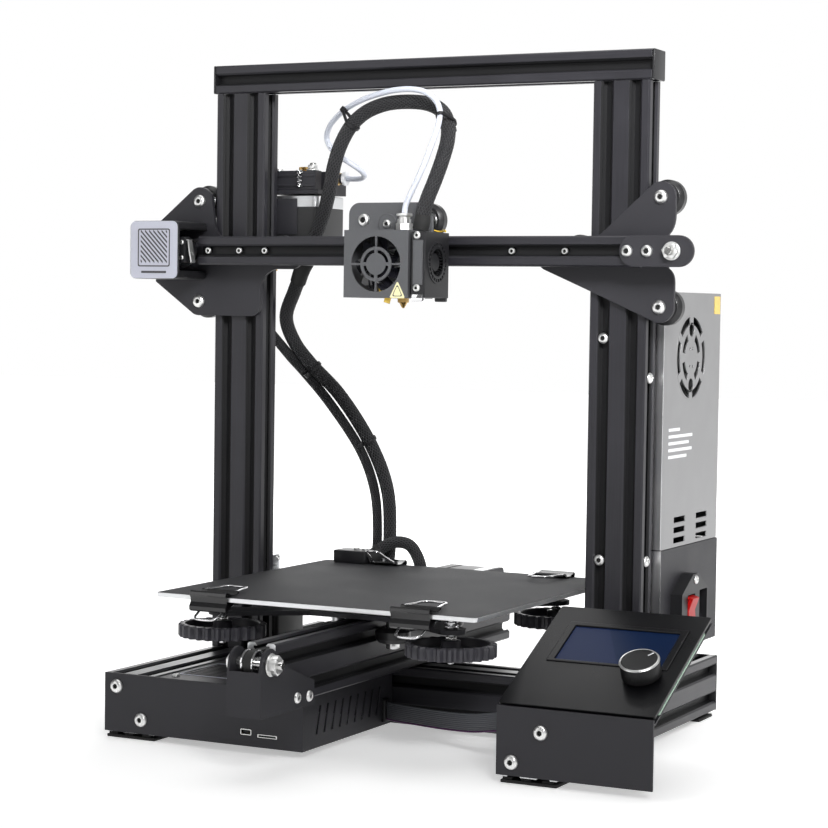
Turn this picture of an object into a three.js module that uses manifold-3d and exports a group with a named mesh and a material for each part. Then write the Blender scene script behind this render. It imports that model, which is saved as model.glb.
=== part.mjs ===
// A desktop filament printer with a moving bed, built from slotted aluminium extrusions.
// Millimetres, +Z up, +Y towards the rear. The bed slides in Y, the gantry in Z and the head in X.

import * as THREE from 'three';
import { mergeVertices } from 'three/addons/utils/BufferGeometryUtils.js';
import Module from 'manifold-3d';

// ---------------------------------------------------------------- driving dimensions

const GAP = 0.3; // air between two pieces that touch on the real machine

const CELL = 20; // extrusion cell: one slot per 20 mm of face
const FRAME_WIDTH = 332; // over the side rails and uprights
const FRAME_DEPTH = 291; // length of the side rails
const RAIL = 40; // side rails and cross beam are 40 x 40
const UPRIGHT_FRONT = 134; // front face of the uprights
const UPRIGHT_TOP = 440;
const TOP_BAR_OVERHANG = 1;

const FOOT_HEIGHT = 4;
const FOOT = [38, 28];

const MOTOR = 42.3; // square of the stepper motors
const MOTOR_CORNER = 4.5;

const WHEEL_RADIUS = 11.95;
const WHEEL_WIDTH = 10.2;
const WHEEL_FLAT = 5.5;
const WHEEL_REACH = 10.75; // wheel axis to the face of the extrusion it runs on

const BED_X = -6; // centre of the bed and of the Y rail
const BED_Y = 112;
const BED_SIZE = 235;
const BED_THICKNESS = 3;
const BED_TOP = 97.4;
const BED_SCREW_SPACING = 170;

const Y_RAIL_FRONT = -66;
const Y_RAIL_REAR = 285;
const Y_RAIL_HEIGHT = 40;
const Y_PULLEY_Z = 69;

const BEAM_Z = 327; // axis of the X beam
const BEAM_Y = 119.3;
const BEAM_HALF = 165;
const PLATE_FRONT = 129.6; // gantry plates stand behind the X beam
const PLATE = 3;
const GANTRY_WHEEL_RISE = 36;

const SCREW_X = -144; // lead screw axis
const SCREW_Y = 175.6;

const TILT = Math.atan(0.487); // slope of the control panel
const PANEL_EDGE = [-3, 45.6]; // its lower front edge, y and z
const PANEL_X = [125.5, 228.3];

// ---------------------------------------------------------------- solids and placement

const wasm = await Module();
wasm.setup();

function toSolid(geometry) {
  const bare = geometry.clone();
  for (const name of Object.keys(bare.attributes)) {
    if (name !== 'position') bare.deleteAttribute(name);
  }
  const merged = mergeVertices(bare, 1e-5);
  return new wasm.Manifold(new wasm.Mesh({
    numProp: 3,
    vertProperties: new Float32Array(merged.attributes.position.array),
    triVerts: new Uint32Array(merged.index.array),
  }));
}

function toGeometry(solid) {
  const mesh = solid.getMesh();
  const geometry = new THREE.BufferGeometry();
  geometry.setAttribute('position', new THREE.BufferAttribute(mesh.vertProperties, 3));
  geometry.setIndex(new THREE.BufferAttribute(mesh.triVerts, 1));
  const flat = geometry.toNonIndexed();
  flat.computeVertexNormals();
  return flat;
}

function join(...pieces) {
  return toGeometry(pieces.map(toSolid).reduce((whole, piece) => whole.add(piece)));
}

function cut(base, ...tools) {
  return toGeometry(tools.map(toSolid).reduce((rest, tool) => rest.subtract(tool), toSolid(base)));
}

function block([x0, x1], [y0, y1], [z0, z1]) {
  const box = new THREE.BoxGeometry(x1 - x0, y1 - y0, z1 - z0);
  return box.translate((x0 + x1) / 2, (y0 + y1) / 2, (z0 + z1) / 2);
}

// The drawing plane of each extrusion axis: X draws (y, z), Y draws (x, z), Z draws (x, y).
const X_AXIS = new THREE.Vector3(1, 0, 0);
const Y_AXIS = new THREE.Vector3(0, 1, 0);
const Z_AXIS = new THREE.Vector3(0, 0, 1);
const PLANES = {
  x: new THREE.Matrix4().makeBasis(Y_AXIS, Z_AXIS, X_AXIS),
  y: new THREE.Matrix4().makeBasis(X_AXIS, Z_AXIS, Y_AXIS.clone().negate()),
  z: new THREE.Matrix4(),
};

function extrude(axis, shape, [from, to], curveSegments = 6) {
  const options = { depth: to - from, bevelEnabled: false, curveSegments };
  const geometry = new THREE.ExtrudeGeometry(shape, options).applyMatrix4(PLANES[axis]);
  const shift = { x: [from, 0, 0], y: [0, to, 0], z: [0, 0, from] }[axis];
  return geometry.translate(...shift);
}

function rod(axis, [a, b], radius, [from, to], sides = 16) {
  const shape = new THREE.Shape().absarc(a, b, radius, 0, 2 * Math.PI);
  return extrude(axis, shape, [from, to], sides);
}

function polygon(points) {
  return new THREE.Shape(points.map(([a, b]) => new THREE.Vector2(a, b)));
}

function ring([a, b], radius, sides) {
  const points = [];
  for (let i = 0; i < sides; i += 1) {
    const turn = (-2 * Math.PI * i) / sides;
    points.push(new THREE.Vector2(a + radius * Math.cos(turn), b + radius * Math.sin(turn)));
  }
  return new THREE.Path(points);
}

function roundedRectangle([a0, a1], [b0, b1], radius) {
  const shape = new THREE.Shape();
  shape.absarc(a1 - radius, b0 + radius, radius, -Math.PI / 2, 0);
  shape.absarc(a1 - radius, b1 - radius, radius, 0, Math.PI / 2);
  shape.absarc(a0 + radius, b1 - radius, radius, Math.PI / 2, Math.PI);
  shape.absarc(a0 + radius, b0 + radius, radius, Math.PI, 1.5 * Math.PI);
  return shape;
}

// A round solid from a half profile of [radius, height] points, standing on +Z.
function turned(points, sides = 20) {
  const profile = points.map(([r, h]) => new THREE.Vector2(r, h));
  return new THREE.LatheGeometry(profile, sides).rotateX(Math.PI / 2);
}

function tube(points, radius, steps, sides = 8) {
  const section = [];
  for (let i = 0; i < sides; i += 1) {
    const turn = (2 * Math.PI * i) / sides;
    section.push([radius * Math.cos(turn), radius * Math.sin(turn)]);
  }
  const path = new THREE.CatmullRomCurve3(points.map((p) => new THREE.Vector3(...p)));
  return new THREE.ExtrudeGeometry(polygon(section), { steps, extrudePath: path });
}

// ---------------------------------------------------------------- materials and bodies

function material(color, roughness, metalness) {
  return new THREE.MeshStandardMaterial({ color, roughness, metalness });
}

const ANODISED = material(0x2b2b2e, 0.45, 0.6);
const PLATE_BLACK = material(0x232326, 0.6, 0.3);
const MOTOR_BLACK = material(0x1c1c1f, 0.5, 0.4);
const STEEL = material(0xb8babd, 0.3, 0.9);
const CASE_GREY = material(0x9a9b9d, 0.4, 0.7);
const SHROUD_GREY = material(0x8d8d92, 0.45, 0.6);
const PLASTIC = material(0x161618, 0.55, 0);
const WHEEL_BLACK = material(0x101012, 0.4, 0);
const RUBBER = material(0x0d0d0e, 0.9, 0);
const ALUMINIUM = material(0xc9cacc, 0.35, 0.9);
const BRASS = material(0xb08a3c, 0.35, 0.9);
const PTFE = material(0xeeeeee, 0.4, 0);
const SLEEVE = material(0x202022, 0.85, 0);
const RIBBON = material(0x8a8a92, 0.6, 0);
const RED = material(0xb01818, 0.4, 0);
const THUMBWHEEL = material(0x4a4850, 0.6, 0);
const SCREEN_BLACK = material(0x0a0a10, 0.15, 0);

const printer = new THREE.Group();
const frame = new THREE.Group();
const gantry = new THREE.Group();
const carriage = new THREE.Group();
const bed = new THREE.Group();
printer.add(frame, gantry, bed);
gantry.add(carriage);

function part(body, name, geometry, finish) {
  const mesh = new THREE.Mesh(geometry, finish);
  mesh.name = name;
  body.add(mesh);
}

// ---------------------------------------------------------------- extrusions

const SLOT_MOUTH = 4.6; // half widths and depths of one slot
const SLOT_NECK = 3.1;
const SLOT_LIP = 1.9;
const SLOT_CAVITY = 5.6;
const SLOT_SHOULDER = 3.2;
const SLOT_FLOOR = 2.6;
const SLOT_DEPTH = 6.1;
const CORE_RADIUS = 2.5;
const CORNER = 1;

const SLOT = [
  [-SLOT_MOUTH, 0], [-SLOT_NECK, SLOT_MOUTH - SLOT_NECK], [-SLOT_NECK, SLOT_LIP],
  [-SLOT_CAVITY, SLOT_LIP], [-SLOT_CAVITY, SLOT_SHOULDER], [-SLOT_FLOOR, SLOT_DEPTH],
  [SLOT_FLOOR, SLOT_DEPTH], [SLOT_CAVITY, SLOT_SHOULDER], [SLOT_CAVITY, SLOT_LIP],
  [SLOT_NECK, SLOT_LIP], [SLOT_NECK, SLOT_MOUTH - SLOT_NECK], [SLOT_MOUTH, 0],
];

// Outline of a slotted section centred on the origin, width x height in whole cells.
function slottedSection(width, height) {
  const points = [];
  const sides = [
    { length: width, out: height / 2, turn: 0 },
    { length: height, out: width / 2, turn: 1 },
    { length: width, out: height / 2, turn: 2 },
    { length: height, out: width / 2, turn: 3 },
  ];
  for (const { length, out, turn } of sides) {
    const place = (along, depth) => {
      const [a, b] = [along, -(out - depth)];
      return [[a, b], [-b, a], [-a, -b], [b, -a]][turn];
    };
    points.push(place(-length / 2 + CORNER, 0));
    for (let cell = -length / 2 + CELL / 2; cell < length / 2; cell += CELL) {
      for (const [along, depth] of SLOT) points.push(place(cell + along, depth));
    }
    points.push(place(length / 2 - CORNER, 0));
  }
  return polygon(points);
}

function extrusion(axis, [a, b], [width, height], span, holes = []) {
  const shape = slottedSection(width, height);
  for (let u = -width / 2 + CELL / 2; u < width / 2; u += CELL) {
    for (let v = -height / 2 + CELL / 2; v < height / 2; v += CELL) {
      shape.holes.push(ring([u, v], CORE_RADIUS, 6));
    }
  }
  shape.holes.push(...holes);
  const geometry = extrude(axis, shape, span, 4);
  const shift = { x: [0, a, b], y: [a, 0, b], z: [a, b, 0] }[axis];
  return geometry.translate(...shift);
}

const RAIL_X = FRAME_WIDTH / 2 - RAIL / 2;
const RAIL_INNER = FRAME_WIDTH / 2 - RAIL;
const UPRIGHT_Y = UPRIGHT_FRONT + CELL / 2;

function makeFrame() {
  for (const [side, name] of [[-1, 'left'], [1, 'right']]) {
    const rail = extrusion('y', [side * RAIL_X, RAIL / 2], [RAIL, RAIL], [0, FRAME_DEPTH]);
    part(frame, `rail_${name}`, rail, ANODISED);
    const upright = extrusion('z', [side * RAIL_X, UPRIGHT_Y], [RAIL, CELL],
      [RAIL + GAP, UPRIGHT_TOP]);
    part(frame, `upright_${name}`, upright, ANODISED);
    for (const [y, end] of [[FOOT[1] / 2, 'front'], [FRAME_DEPTH - FOOT[1] / 2 - 4, 'rear']]) {
      const pad = extrude('z', roundedRectangle(
        [side * RAIL_X - FOOT[0] / 2, side * RAIL_X + FOOT[0] / 2],
        [y - FOOT[1] / 2, y + FOOT[1] / 2], 3), [-FOOT_HEIGHT, -GAP], 3);
      part(frame, `foot_${end}_${name}`, pad, RUBBER);
    }
  }
  const beam = extrusion('x', [UPRIGHT_Y, RAIL / 2], [RAIL, RAIL],
    [-RAIL_INNER + GAP, RAIL_INNER - GAP]);
  part(frame, 'cross_beam', beam, ANODISED);
  const half = FRAME_WIDTH / 2 + TOP_BAR_OVERHANG;
  const bar = extrusion('x', [UPRIGHT_Y, UPRIGHT_TOP + GAP + CELL / 2], [CELL, CELL], [-half, half]);
  part(frame, 'top_bar', bar, ANODISED);
}

const Y_RAIL_Z = RAIL + GAP + Y_RAIL_HEIGHT / 2;

function makeYRail() {
  const chamber = new THREE.Path([[-4, -5.5], [-4, 5.5], [4, 5.5], [4, -5.5]]
    .map(([a, b]) => new THREE.Vector2(a, b)));
  const rail = extrusion('y', [BED_X, Y_RAIL_Z], [CELL, Y_RAIL_HEIGHT],
    [Y_RAIL_FRONT, Y_RAIL_REAR], [chamber]);
  part(frame, 'y_rail', rail, ANODISED);
}

// ---------------------------------------------------------------- motors

function motorSection([a, b]) {
  const half = MOTOR / 2;
  const flat = half - MOTOR_CORNER;
  return polygon([
    [a - flat, b - half], [a + flat, b - half], [a + half, b - flat], [a + half, b + flat],
    [a + flat, b + half], [a - flat, b + half], [a - half, b + flat], [a - half, b - flat],
  ]);
}

function motor(axis, centre, span, shaft) {
  return join(extrude(axis, motorSection(centre), span), rod(axis, centre, 2.5, shaft, 8));
}

const Z_MOTOR_TOP = 80;

function makeZDrive() {
  const axis = [SCREW_X, SCREW_Y];
  const body = motor('z', axis, [RAIL + GAP, Z_MOTOR_TOP], [Z_MOTOR_TOP - 1, Z_MOTOR_TOP + 4]);
  part(frame, 'z_motor', body, MOTOR_BLACK);
  const coupler = turned([[0, 12], [3.6, 12], [3.6, 0], [9.5, 0], [9.5, 24.5], [4, 24.5],
    [4, 340], [0, 340]]).translate(SCREW_X, SCREW_Y, Z_MOTOR_TOP + 1);
  part(frame, 'lead_screw', coupler, STEEL);
}

const Y_MOTOR_Y = 297;
const Y_PLATE_FRONT = 266;
const Y_PLATE_X = [BED_X - CELL / 2 - PLATE - GAP, BED_X - CELL / 2 - GAP];

function makeYDrive() {
  const bracket = cut(
    extrude('x', roundedRectangle([Y_PLATE_FRONT, Y_MOTOR_Y + MOTOR / 2], [45, Y_PULLEY_Z + MOTOR / 2], 3),
      Y_PLATE_X, 3),
    rod('x', [Y_MOTOR_Y, Y_PULLEY_Z], 4, [Y_PLATE_X[0] - 1, Y_PLATE_X[1] + 1], 10));
  const motorBody = motor('x', [Y_MOTOR_Y, Y_PULLEY_Z], [Y_PLATE_X[0] - 40, Y_PLATE_X[0] + 0.1],
    [Y_PLATE_X[0] - 1, BED_X + 6]);
  part(frame, 'y_motor', join(bracket, motorBody), MOTOR_BLACK);
}

const IDLER_FRONT = -87;
const IDLER_Y = -76;
const IDLER_SKIN = 1.8;

// A folded channel that wraps the front of the Y rail and carries the belt idler on two ears.
function makeYIdler() {
  const cheek = new THREE.Shape();
  cheek.moveTo(IDLER_FRONT, 37);
  cheek.lineTo(-20, 37);
  cheek.lineTo(-20, 52);
  cheek.lineTo(-58, 66);
  cheek.absarc(IDLER_Y, Y_PULLEY_Z, 10, 0.1, Math.PI * 0.94);
  cheek.lineTo(IDLER_FRONT, 65);
  const inner = CELL / 2 + GAP;
  const left = [BED_X - inner - IDLER_SKIN, BED_X - inner];
  const right = [BED_X + inner, BED_X + inner + IDLER_SKIN];
  const face = block([left[0], right[1]], [IDLER_FRONT, IDLER_FRONT + IDLER_SKIN], [37, 65]);
  const pin = rod('x', [IDLER_Y, Y_PULLEY_Z], 2.5, [left[0], right[1]], 10);
  const bracket = join(extrude('x', cheek, left), extrude('x', cheek, right), face, pin);
  part(frame, 'y_idler_bracket', bracket, PLATE_BLACK);
}

// ---------------------------------------------------------------- electronics

const BOX_X = [-FRAME_WIDTH / 2 + 0.5, -12];
const BOX_Y = [-2.3, UPRIGHT_Y - CELL - GAP - 0.2];
const BOX_SKIN = 1.2;
const BOX_TOP = 37.8;
const VENTS = 9;

function slantedVent(y) {
  const slot = polygon([[y, 9.5], [y + 2.4, 9.5], [y + 7.4, 28], [y + 5, 28]]);
  return extrude('x', slot, [BOX_X[1] - 3, BOX_X[1] + 1]);
}

function makeElectronics() {
  const inside = -RAIL_INNER + GAP;
  const panel = block(BOX_X, [BOX_Y[0], BOX_Y[0] + 2], [0.6, RAIL]);
  const tray = cut(
    block([inside, BOX_X[1]], BOX_Y, [0.6, BOX_TOP]),
    block([inside + BOX_SKIN, BOX_X[1] - BOX_SKIN], [BOX_Y[0] + BOX_SKIN, BOX_Y[1] - BOX_SKIN],
      [0.6 + BOX_SKIN, RAIL]));
  const sockets = [
    block([-59.2, -50.2], [-4, 1], [7.6, 12.2]),
    block([-46.4, -31], [-4, 1], [6.8, 9.6]),
  ];
  const vents = [];
  for (let i = 0; i < VENTS; i += 1) vents.push(slantedVent(15 + i * 10.5));
  part(frame, 'electronics_box', cut(join(panel, tray), ...sockets, ...vents), PLATE_BLACK);
  const lid = block([inside, BOX_X[1]], [0, BOX_Y[1]], [BOX_TOP + GAP, BOX_TOP + GAP + BOX_SKIN]);
  const slots = [];
  for (let i = 0; i < 9; i += 1) {
    slots.push(block([-118, -84], [24 + i * 5, 26.4 + i * 5], [BOX_TOP, RAIL]));
  }
  part(frame, 'electronics_cover', cut(lid, ...slots), PLATE_BLACK);
}

// ---------------------------------------------------------------- power supply

const SUPPLY_X = [121, 171];
const SUPPLY_Y = [UPRIGHT_FRONT + CELL + 3, 270];
const SUPPLY_TOP = 301.5;
const SUPPLY_SPLIT = 128;
const SUPPLY_BOTTOM = 57;
const SUPPLY_FAN = [210, 257]; // centre of its grille, y and z
const INLET = [203, 85]; // centre of the inlet flange, y and z
const INLET_FACE = 180;
const INLET_FLANGE = [[-26.5, -12], [-26.5, 12], [-5, 24], [5, 24], [26.5, 12], [26.5, -12],
  [5, -24], [-5, -24]];
const ROCKER_Y = INLET[0] - 8;
const ROCKER_WELL = [7.2, 10.6]; // half width and half height
const ROCKER_TILT = THREE.MathUtils.degToRad(8); // rests tilted to off
const SOCKET_Y = INLET[0] + 16;
const SOCKET_WELL = [7.8, 12];

const VENT_SIZE = [22, 3.6];

function supplyVents() {
  const vents = [];
  for (const y of [182, 226.5]) {
    for (const z of [131, 138, 145]) {
      vents.push(block([SUPPLY_X[1] - 3, SUPPLY_X[1] + 1], [y, y + VENT_SIZE[0]],
        [z, z + VENT_SIZE[1]]));
    }
  }
  return vents;
}

function makePowerSupply() {
  const skin = 1.2;
  const shell = cut(
    block(SUPPLY_X, SUPPLY_Y, [SUPPLY_SPLIT + GAP, SUPPLY_TOP]),
    block([SUPPLY_X[0] + skin, SUPPLY_X[1] - skin], [SUPPLY_Y[0] + skin, SUPPLY_Y[1] - skin],
      [SUPPLY_SPLIT, SUPPLY_TOP - skin]),
    rod('x', SUPPLY_FAN, 29, [SUPPLY_X[1] - 3, SUPPLY_X[1] + 1], 24),
    ...supplyVents());
  part(frame, 'power_supply_case', shell, CASE_GREY);
  const cover = cut(
    block([SUPPLY_X[0] - 0.5, SUPPLY_X[1] + 0.5], [SUPPLY_Y[0] - 0.5, SUPPLY_Y[1] + 0.5],
      [SUPPLY_BOTTOM, SUPPLY_SPLIT]),
    block([SUPPLY_X[0] + 2, SUPPLY_X[1] - 2], [SUPPLY_Y[0] + 2, SUPPLY_Y[1] - 2],
      [SUPPLY_BOTTOM + 2, SUPPLY_SPLIT + 1]),
    block([SUPPLY_X[1] - 3, SUPPLY_X[1] + 1], [INLET[0] - 20, INLET[0] + 25],
      [INLET[1] - 14, INLET[1] + 14]));
  part(frame, 'power_supply_cover', join(cover, makeInlet()), PLASTIC);
}

function well(y, [halfWidth, halfHeight], depth) {
  return block([INLET_FACE - depth, INLET_FACE + 1], [y - halfWidth, y + halfWidth],
    [INLET[1] - halfHeight, INLET[1] + halfHeight]);
}

// The inlet module: a flange proud of the cover, with a rocker well and a three-pin socket.
function makeInlet() {
  const outline = INLET_FLANGE.map(([dy, dz]) => [INLET[0] + dy, INLET[1] + dz]);
  const flange = extrude('x', polygon(outline), [SUPPLY_X[1], INLET_FACE]);
  const body = block([SUPPLY_X[1] - 14, INLET_FACE - 1], [INLET[0] - 19, INLET[0] + 25.5],
    [INLET[1] - 13.5, INLET[1] + 13.5]);
  const module = cut(join(flange, body), well(ROCKER_Y, ROCKER_WELL, 12),
    well(SOCKET_Y, SOCKET_WELL, 18));
  const pins = [];
  for (const [dy, dz] of [[-2.5, -7], [2.5, 0], [-2.5, 7]]) {
    const [y, z] = [SOCKET_Y + dy, INLET[1] + dz];
    pins.push(block([INLET_FACE - 19, INLET_FACE - 9], [y - 2, y + 2], [z - 1, z + 1]));
  }
  return join(module, ...pins);
}

function fanBlades(hub, tip, blades, thickness) {
  const blade = block([hub - 1, tip], [-0.8, 0.8], [1, thickness - 0.5])
    .applyMatrix4(new THREE.Matrix4().makeShear(0, 0, 0, 0.7, 0, 0));
  const pieces = [rod('z', [0, 0], hub, [0, thickness], 16)];
  for (let i = 0; i < blades; i += 1) {
    pieces.push(blade.clone().rotateZ((2 * Math.PI * i) / blades));
  }
  return join(...pieces);
}

function makeSupplyMovers() {
  const fan = fanBlades(12, 27.5, 7, 9).rotateY(Math.PI / 2)
    .translate(SUPPLY_X[1] - 14, ...SUPPLY_FAN);
  part(frame, 'power_supply_fan', fan, PLASTIC);
  const profile = polygon([[-4, -9.4], [1.2, -9.4], [3.4, -8.8], [1.6, 0], [3.4, 8.8],
    [1.2, 9.4], [-4, 9.4]]);
  const rocker = extrude('y', profile, [-6.6, 6.6]).rotateY(ROCKER_TILT)
    .translate(INLET_FACE - 1, ROCKER_Y, INLET[1]);
  part(frame, 'rocker_switch', rocker, RED);
}

// ---------------------------------------------------------------- control panel

// Takes geometry drawn with its face on z = 0 and lays it on the sloping panel.
function onPanel(geometry) {
  return geometry.rotateX(TILT).translate(0, PANEL_EDGE[0], PANEL_EDGE[1]);
}

const PANEL_LENGTH = 112;
const PANEL_SKIN = 4;
const KNOB_X = 206.5;
const KNOB_V = 40.5; // distance up the slope from the lower edge

function makeControlPanel() {
  const under = -PANEL_SKIN - GAP;
  const tray = onPanel(block(PANEL_X, [0.5, PANEL_LENGTH], [under - 1.2, under]));
  const face = cut(
    block(PANEL_X, [-3.6, -2], [1.5, 44.6]),
    rod('y', [155.3, 30], 2, [-5, 0], 8), rod('y', [136, 10], 2, [-5, 0], 8));
  const fold = block(PANEL_X, [-3.6, 1.5], [41, 42.2]);
  part(frame, 'screen_bracket', join(tray, face, fold), PLATE_BLACK);
  const glass = cut(
    onPanel(extrude('z', roundedRectangle(PANEL_X, [1.5, PANEL_LENGTH], 2), [-PANEL_SKIN, 0], 3)),
    onPanel(rod('z', [KNOB_X, KNOB_V], 4.2, [-6, 2], 16)));
  part(frame, 'screen_panel', glass, SCREEN_BLACK);
  const shaft = onPanel(rod('z', [KNOB_X, KNOB_V], 3.2, [-2, 10.5], 16));
  part(frame, 'encoder_shaft', shaft, STEEL);
  const knob = onPanel(turned([[0, 11], [3.6, 11], [3.6, 2.2], [12.6, 2.2], [12.6, 4],
    [11.6, 12.5], [10.4, 13.5], [0, 13.5]], 24).translate(KNOB_X, KNOB_V, 0));
  part(frame, 'encoder_knob', knob, PLASTIC);
}

const RIBBON_ROUTE = [[-11.6, 112, 11], [-1, 106, 11.2], [25, 93, 12.6], [55, 77, 15],
  [79, 64, 18], [102, 52, 23], [125.6, 40, 27]];
const RIBBON_HALF = [0.6, 6.3]; // half thickness and half width

// A flat strip standing on edge that sags between the electronics box and the right rail.
function makeRibbon() {
  const route = RIBBON_ROUTE.map((p) => new THREE.Vector3(...p));
  const across = route.at(-1).clone().sub(route[0]).cross(Z_AXIS).normalize()
    .multiplyScalar(RIBBON_HALF[0]);
  const steps = 16;
  const positions = [];
  for (const p of new THREE.CatmullRomCurve3(route).getSpacedPoints(steps)) {
    for (const [side, lift] of [[1, -1], [-1, -1], [-1, 1], [1, 1]]) {
      positions.push(p.x + side * across.x, p.y + side * across.y, p.z + lift * RIBBON_HALF[1]);
    }
  }
  const index = [];
  for (let i = 0; i < steps; i += 1) {
    for (let k = 0; k < 4; k += 1) {
      const [a, b] = [4 * i + k, 4 * i + ((k + 1) % 4)];
      index.push(a, b, a + 4, b, b + 4, a + 4);
    }
  }
  const last = 4 * steps;
  index.push(0, 2, 1, 0, 3, 2, last, last + 1, last + 2, last, last + 2, last + 3);
  const geometry = new THREE.BufferGeometry();
  geometry.setAttribute('position', new THREE.Float32BufferAttribute(positions, 3));
  geometry.setIndex(index);
  part(frame, 'ribbon_cable', geometry, RIBBON);
}

// ---------------------------------------------------------------- wheels

// A grooved roller: a flat tread between two 45 degree flanks that fit the mouth of a slot.
function wheel(body, name, centre, axis) {
  const half = WHEEL_WIDTH / 2;
  const rim = WHEEL_RADIUS - (half - WHEEL_FLAT / 2);
  const roller = turned([[0, -half], [rim, -half], [WHEEL_RADIUS, -WHEEL_FLAT / 2],
    [WHEEL_RADIUS, WHEEL_FLAT / 2], [rim, half], [0, half]], 20);
  if (axis === 'y') roller.rotateX(Math.PI / 2);
  part(body, name, roller.translate(...centre), WHEEL_BLACK);
}

const OUTER_WHEEL_X = FRAME_WIDTH / 2 + WHEEL_REACH;
const INNER_WHEEL_X = RAIL_INNER - WHEEL_REACH;

function makeGantryWheels() {
  for (const [side, name] of [[-1, 'left'], [1, 'right']]) {
    const outer = side * OUTER_WHEEL_X;
    wheel(gantry, `gantry_wheel_${name}_top`, [outer, UPRIGHT_Y, BEAM_Z + GANTRY_WHEEL_RISE], 'y');
    wheel(gantry, `gantry_wheel_${name}_low`, [outer, UPRIGHT_Y, BEAM_Z - GANTRY_WHEEL_RISE], 'y');
    wheel(gantry, `gantry_wheel_${name}_inner`, [side * INNER_WHEEL_X, UPRIGHT_Y, BEAM_Z], 'y');
  }
}

// ---------------------------------------------------------------- gantry

const LOBE = 10.2;
const MOTOR_X = -190.5; // X motor axis
const IDLER_X = 193; // X idler axis

function leftPlateOutline() {
  const outline = new THREE.Shape();
  const top = BEAM_Z + GANTRY_WHEEL_RISE;
  const low = BEAM_Z - GANTRY_WHEEL_RISE;
  outline.moveTo(-214, 346);
  outline.lineTo(-214, 305);
  outline.absarc(-OUTER_WHEEL_X, low, LOBE, Math.PI * 1.28, Math.PI * 1.5);
  outline.absarc(-133, low - LOBE + 7.5, 7.5, Math.PI * 1.5, Math.PI * 2);
  outline.lineTo(-125.5, 303);
  outline.quadraticCurveTo(-123, 312, -113, 314.5);
  outline.absarc(-100, 323, 8.5, -Math.PI / 2, 0);
  outline.absarc(-100, 328, 8.5, 0, Math.PI / 2);
  outline.lineTo(-154, 336.5);
  outline.quadraticCurveTo(-164.3, 338, -164.8, 350);
  outline.absarc(-OUTER_WHEEL_X, top, LOBE, 0.2, Math.PI * 0.74);
  return outline;
}

function rightPlateOutline() {
  const outline = new THREE.Shape();
  const top = BEAM_Z + GANTRY_WHEEL_RISE;
  const low = BEAM_Z - GANTRY_WHEEL_RISE;
  const notch = 182.5; // the plate's waist, level with the beam
  const wide = OUTER_WHEEL_X + LOBE;
  outline.moveTo(132, 336.5);
  outline.lineTo(97, 336.5);
  outline.lineTo(91, 317.5);
  outline.lineTo(94, 315.3);
  outline.lineTo(128, 301);
  outline.absarc(OUTER_WHEEL_X, low, LOBE, Math.PI * 1.36, Math.PI * 2);
  outline.lineTo(wide, 307);
  outline.quadraticCurveTo(wide, 313.5, notch, 316.5);
  outline.lineTo(notch, 338.5);
  outline.quadraticCurveTo(wide, 343, wide, 352);
  outline.absarc(OUTER_WHEEL_X, top, LOBE, 0, Math.PI * 0.72);
  return outline;
}

const BRACKET_REAR = 205; // rear wall of the left bracket, behind the extruder motor
const SHELF_Z = 325.7;

function makeGantry() {
  const back = PLATE_FRONT + PLATE;
  const leftPlate = extrude('y', leftPlateOutline(), [PLATE_FRONT, back], 5);
  const web = block([-214, -211.7], [back - 1, BRACKET_REAR], [310, 336]);
  const rearWall = block([-214, -95], [BRACKET_REAR - 2, BRACKET_REAR], [SHELF_Z, 336]);
  const shelf = cut(
    block([-162, -95], [156, BRACKET_REAR], [SHELF_Z, SHELF_Z + PLATE]),
    rod('z', [SCREW_X, SCREW_Y], 5.2, [SHELF_Z - 1, SHELF_Z + PLATE + 1], 12));
  const shaftHole = rod('y', [MOTOR_X, BEAM_Z], 11.5, [PLATE_FRONT - 1, back + 1], 16);
  part(gantry, 'gantry_plate_left', cut(join(leftPlate, web, rearWall, shelf), shaftHole),
    PLATE_BLACK);
  const rightPlate = extrude('y', rightPlateOutline(), [PLATE_FRONT, back], 5);
  part(gantry, 'gantry_plate_right', rightPlate, PLATE_BLACK);
  const beam = extrusion('x', [BEAM_Y, BEAM_Z], [CELL, CELL], [-BEAM_HALF, BEAM_HALF]);
  part(gantry, 'x_beam', beam, ANODISED);
}

const PULLEY = 6.1;
const BELT = 1.4;
const BELT_WIDTH = 5.6;

function racetrack(x0, x1, radius, hole) {
  const path = hole ? new THREE.Path() : new THREE.Shape();
  const turn = hole ? -1 : 1;
  const start = (Math.PI / 2) * turn;
  path.absarc(x0, BEAM_Z, radius, start, start + Math.PI * turn, hole);
  path.absarc(x1, BEAM_Z, radius, -start, -start + Math.PI * turn, hole);
  return path;
}

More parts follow.
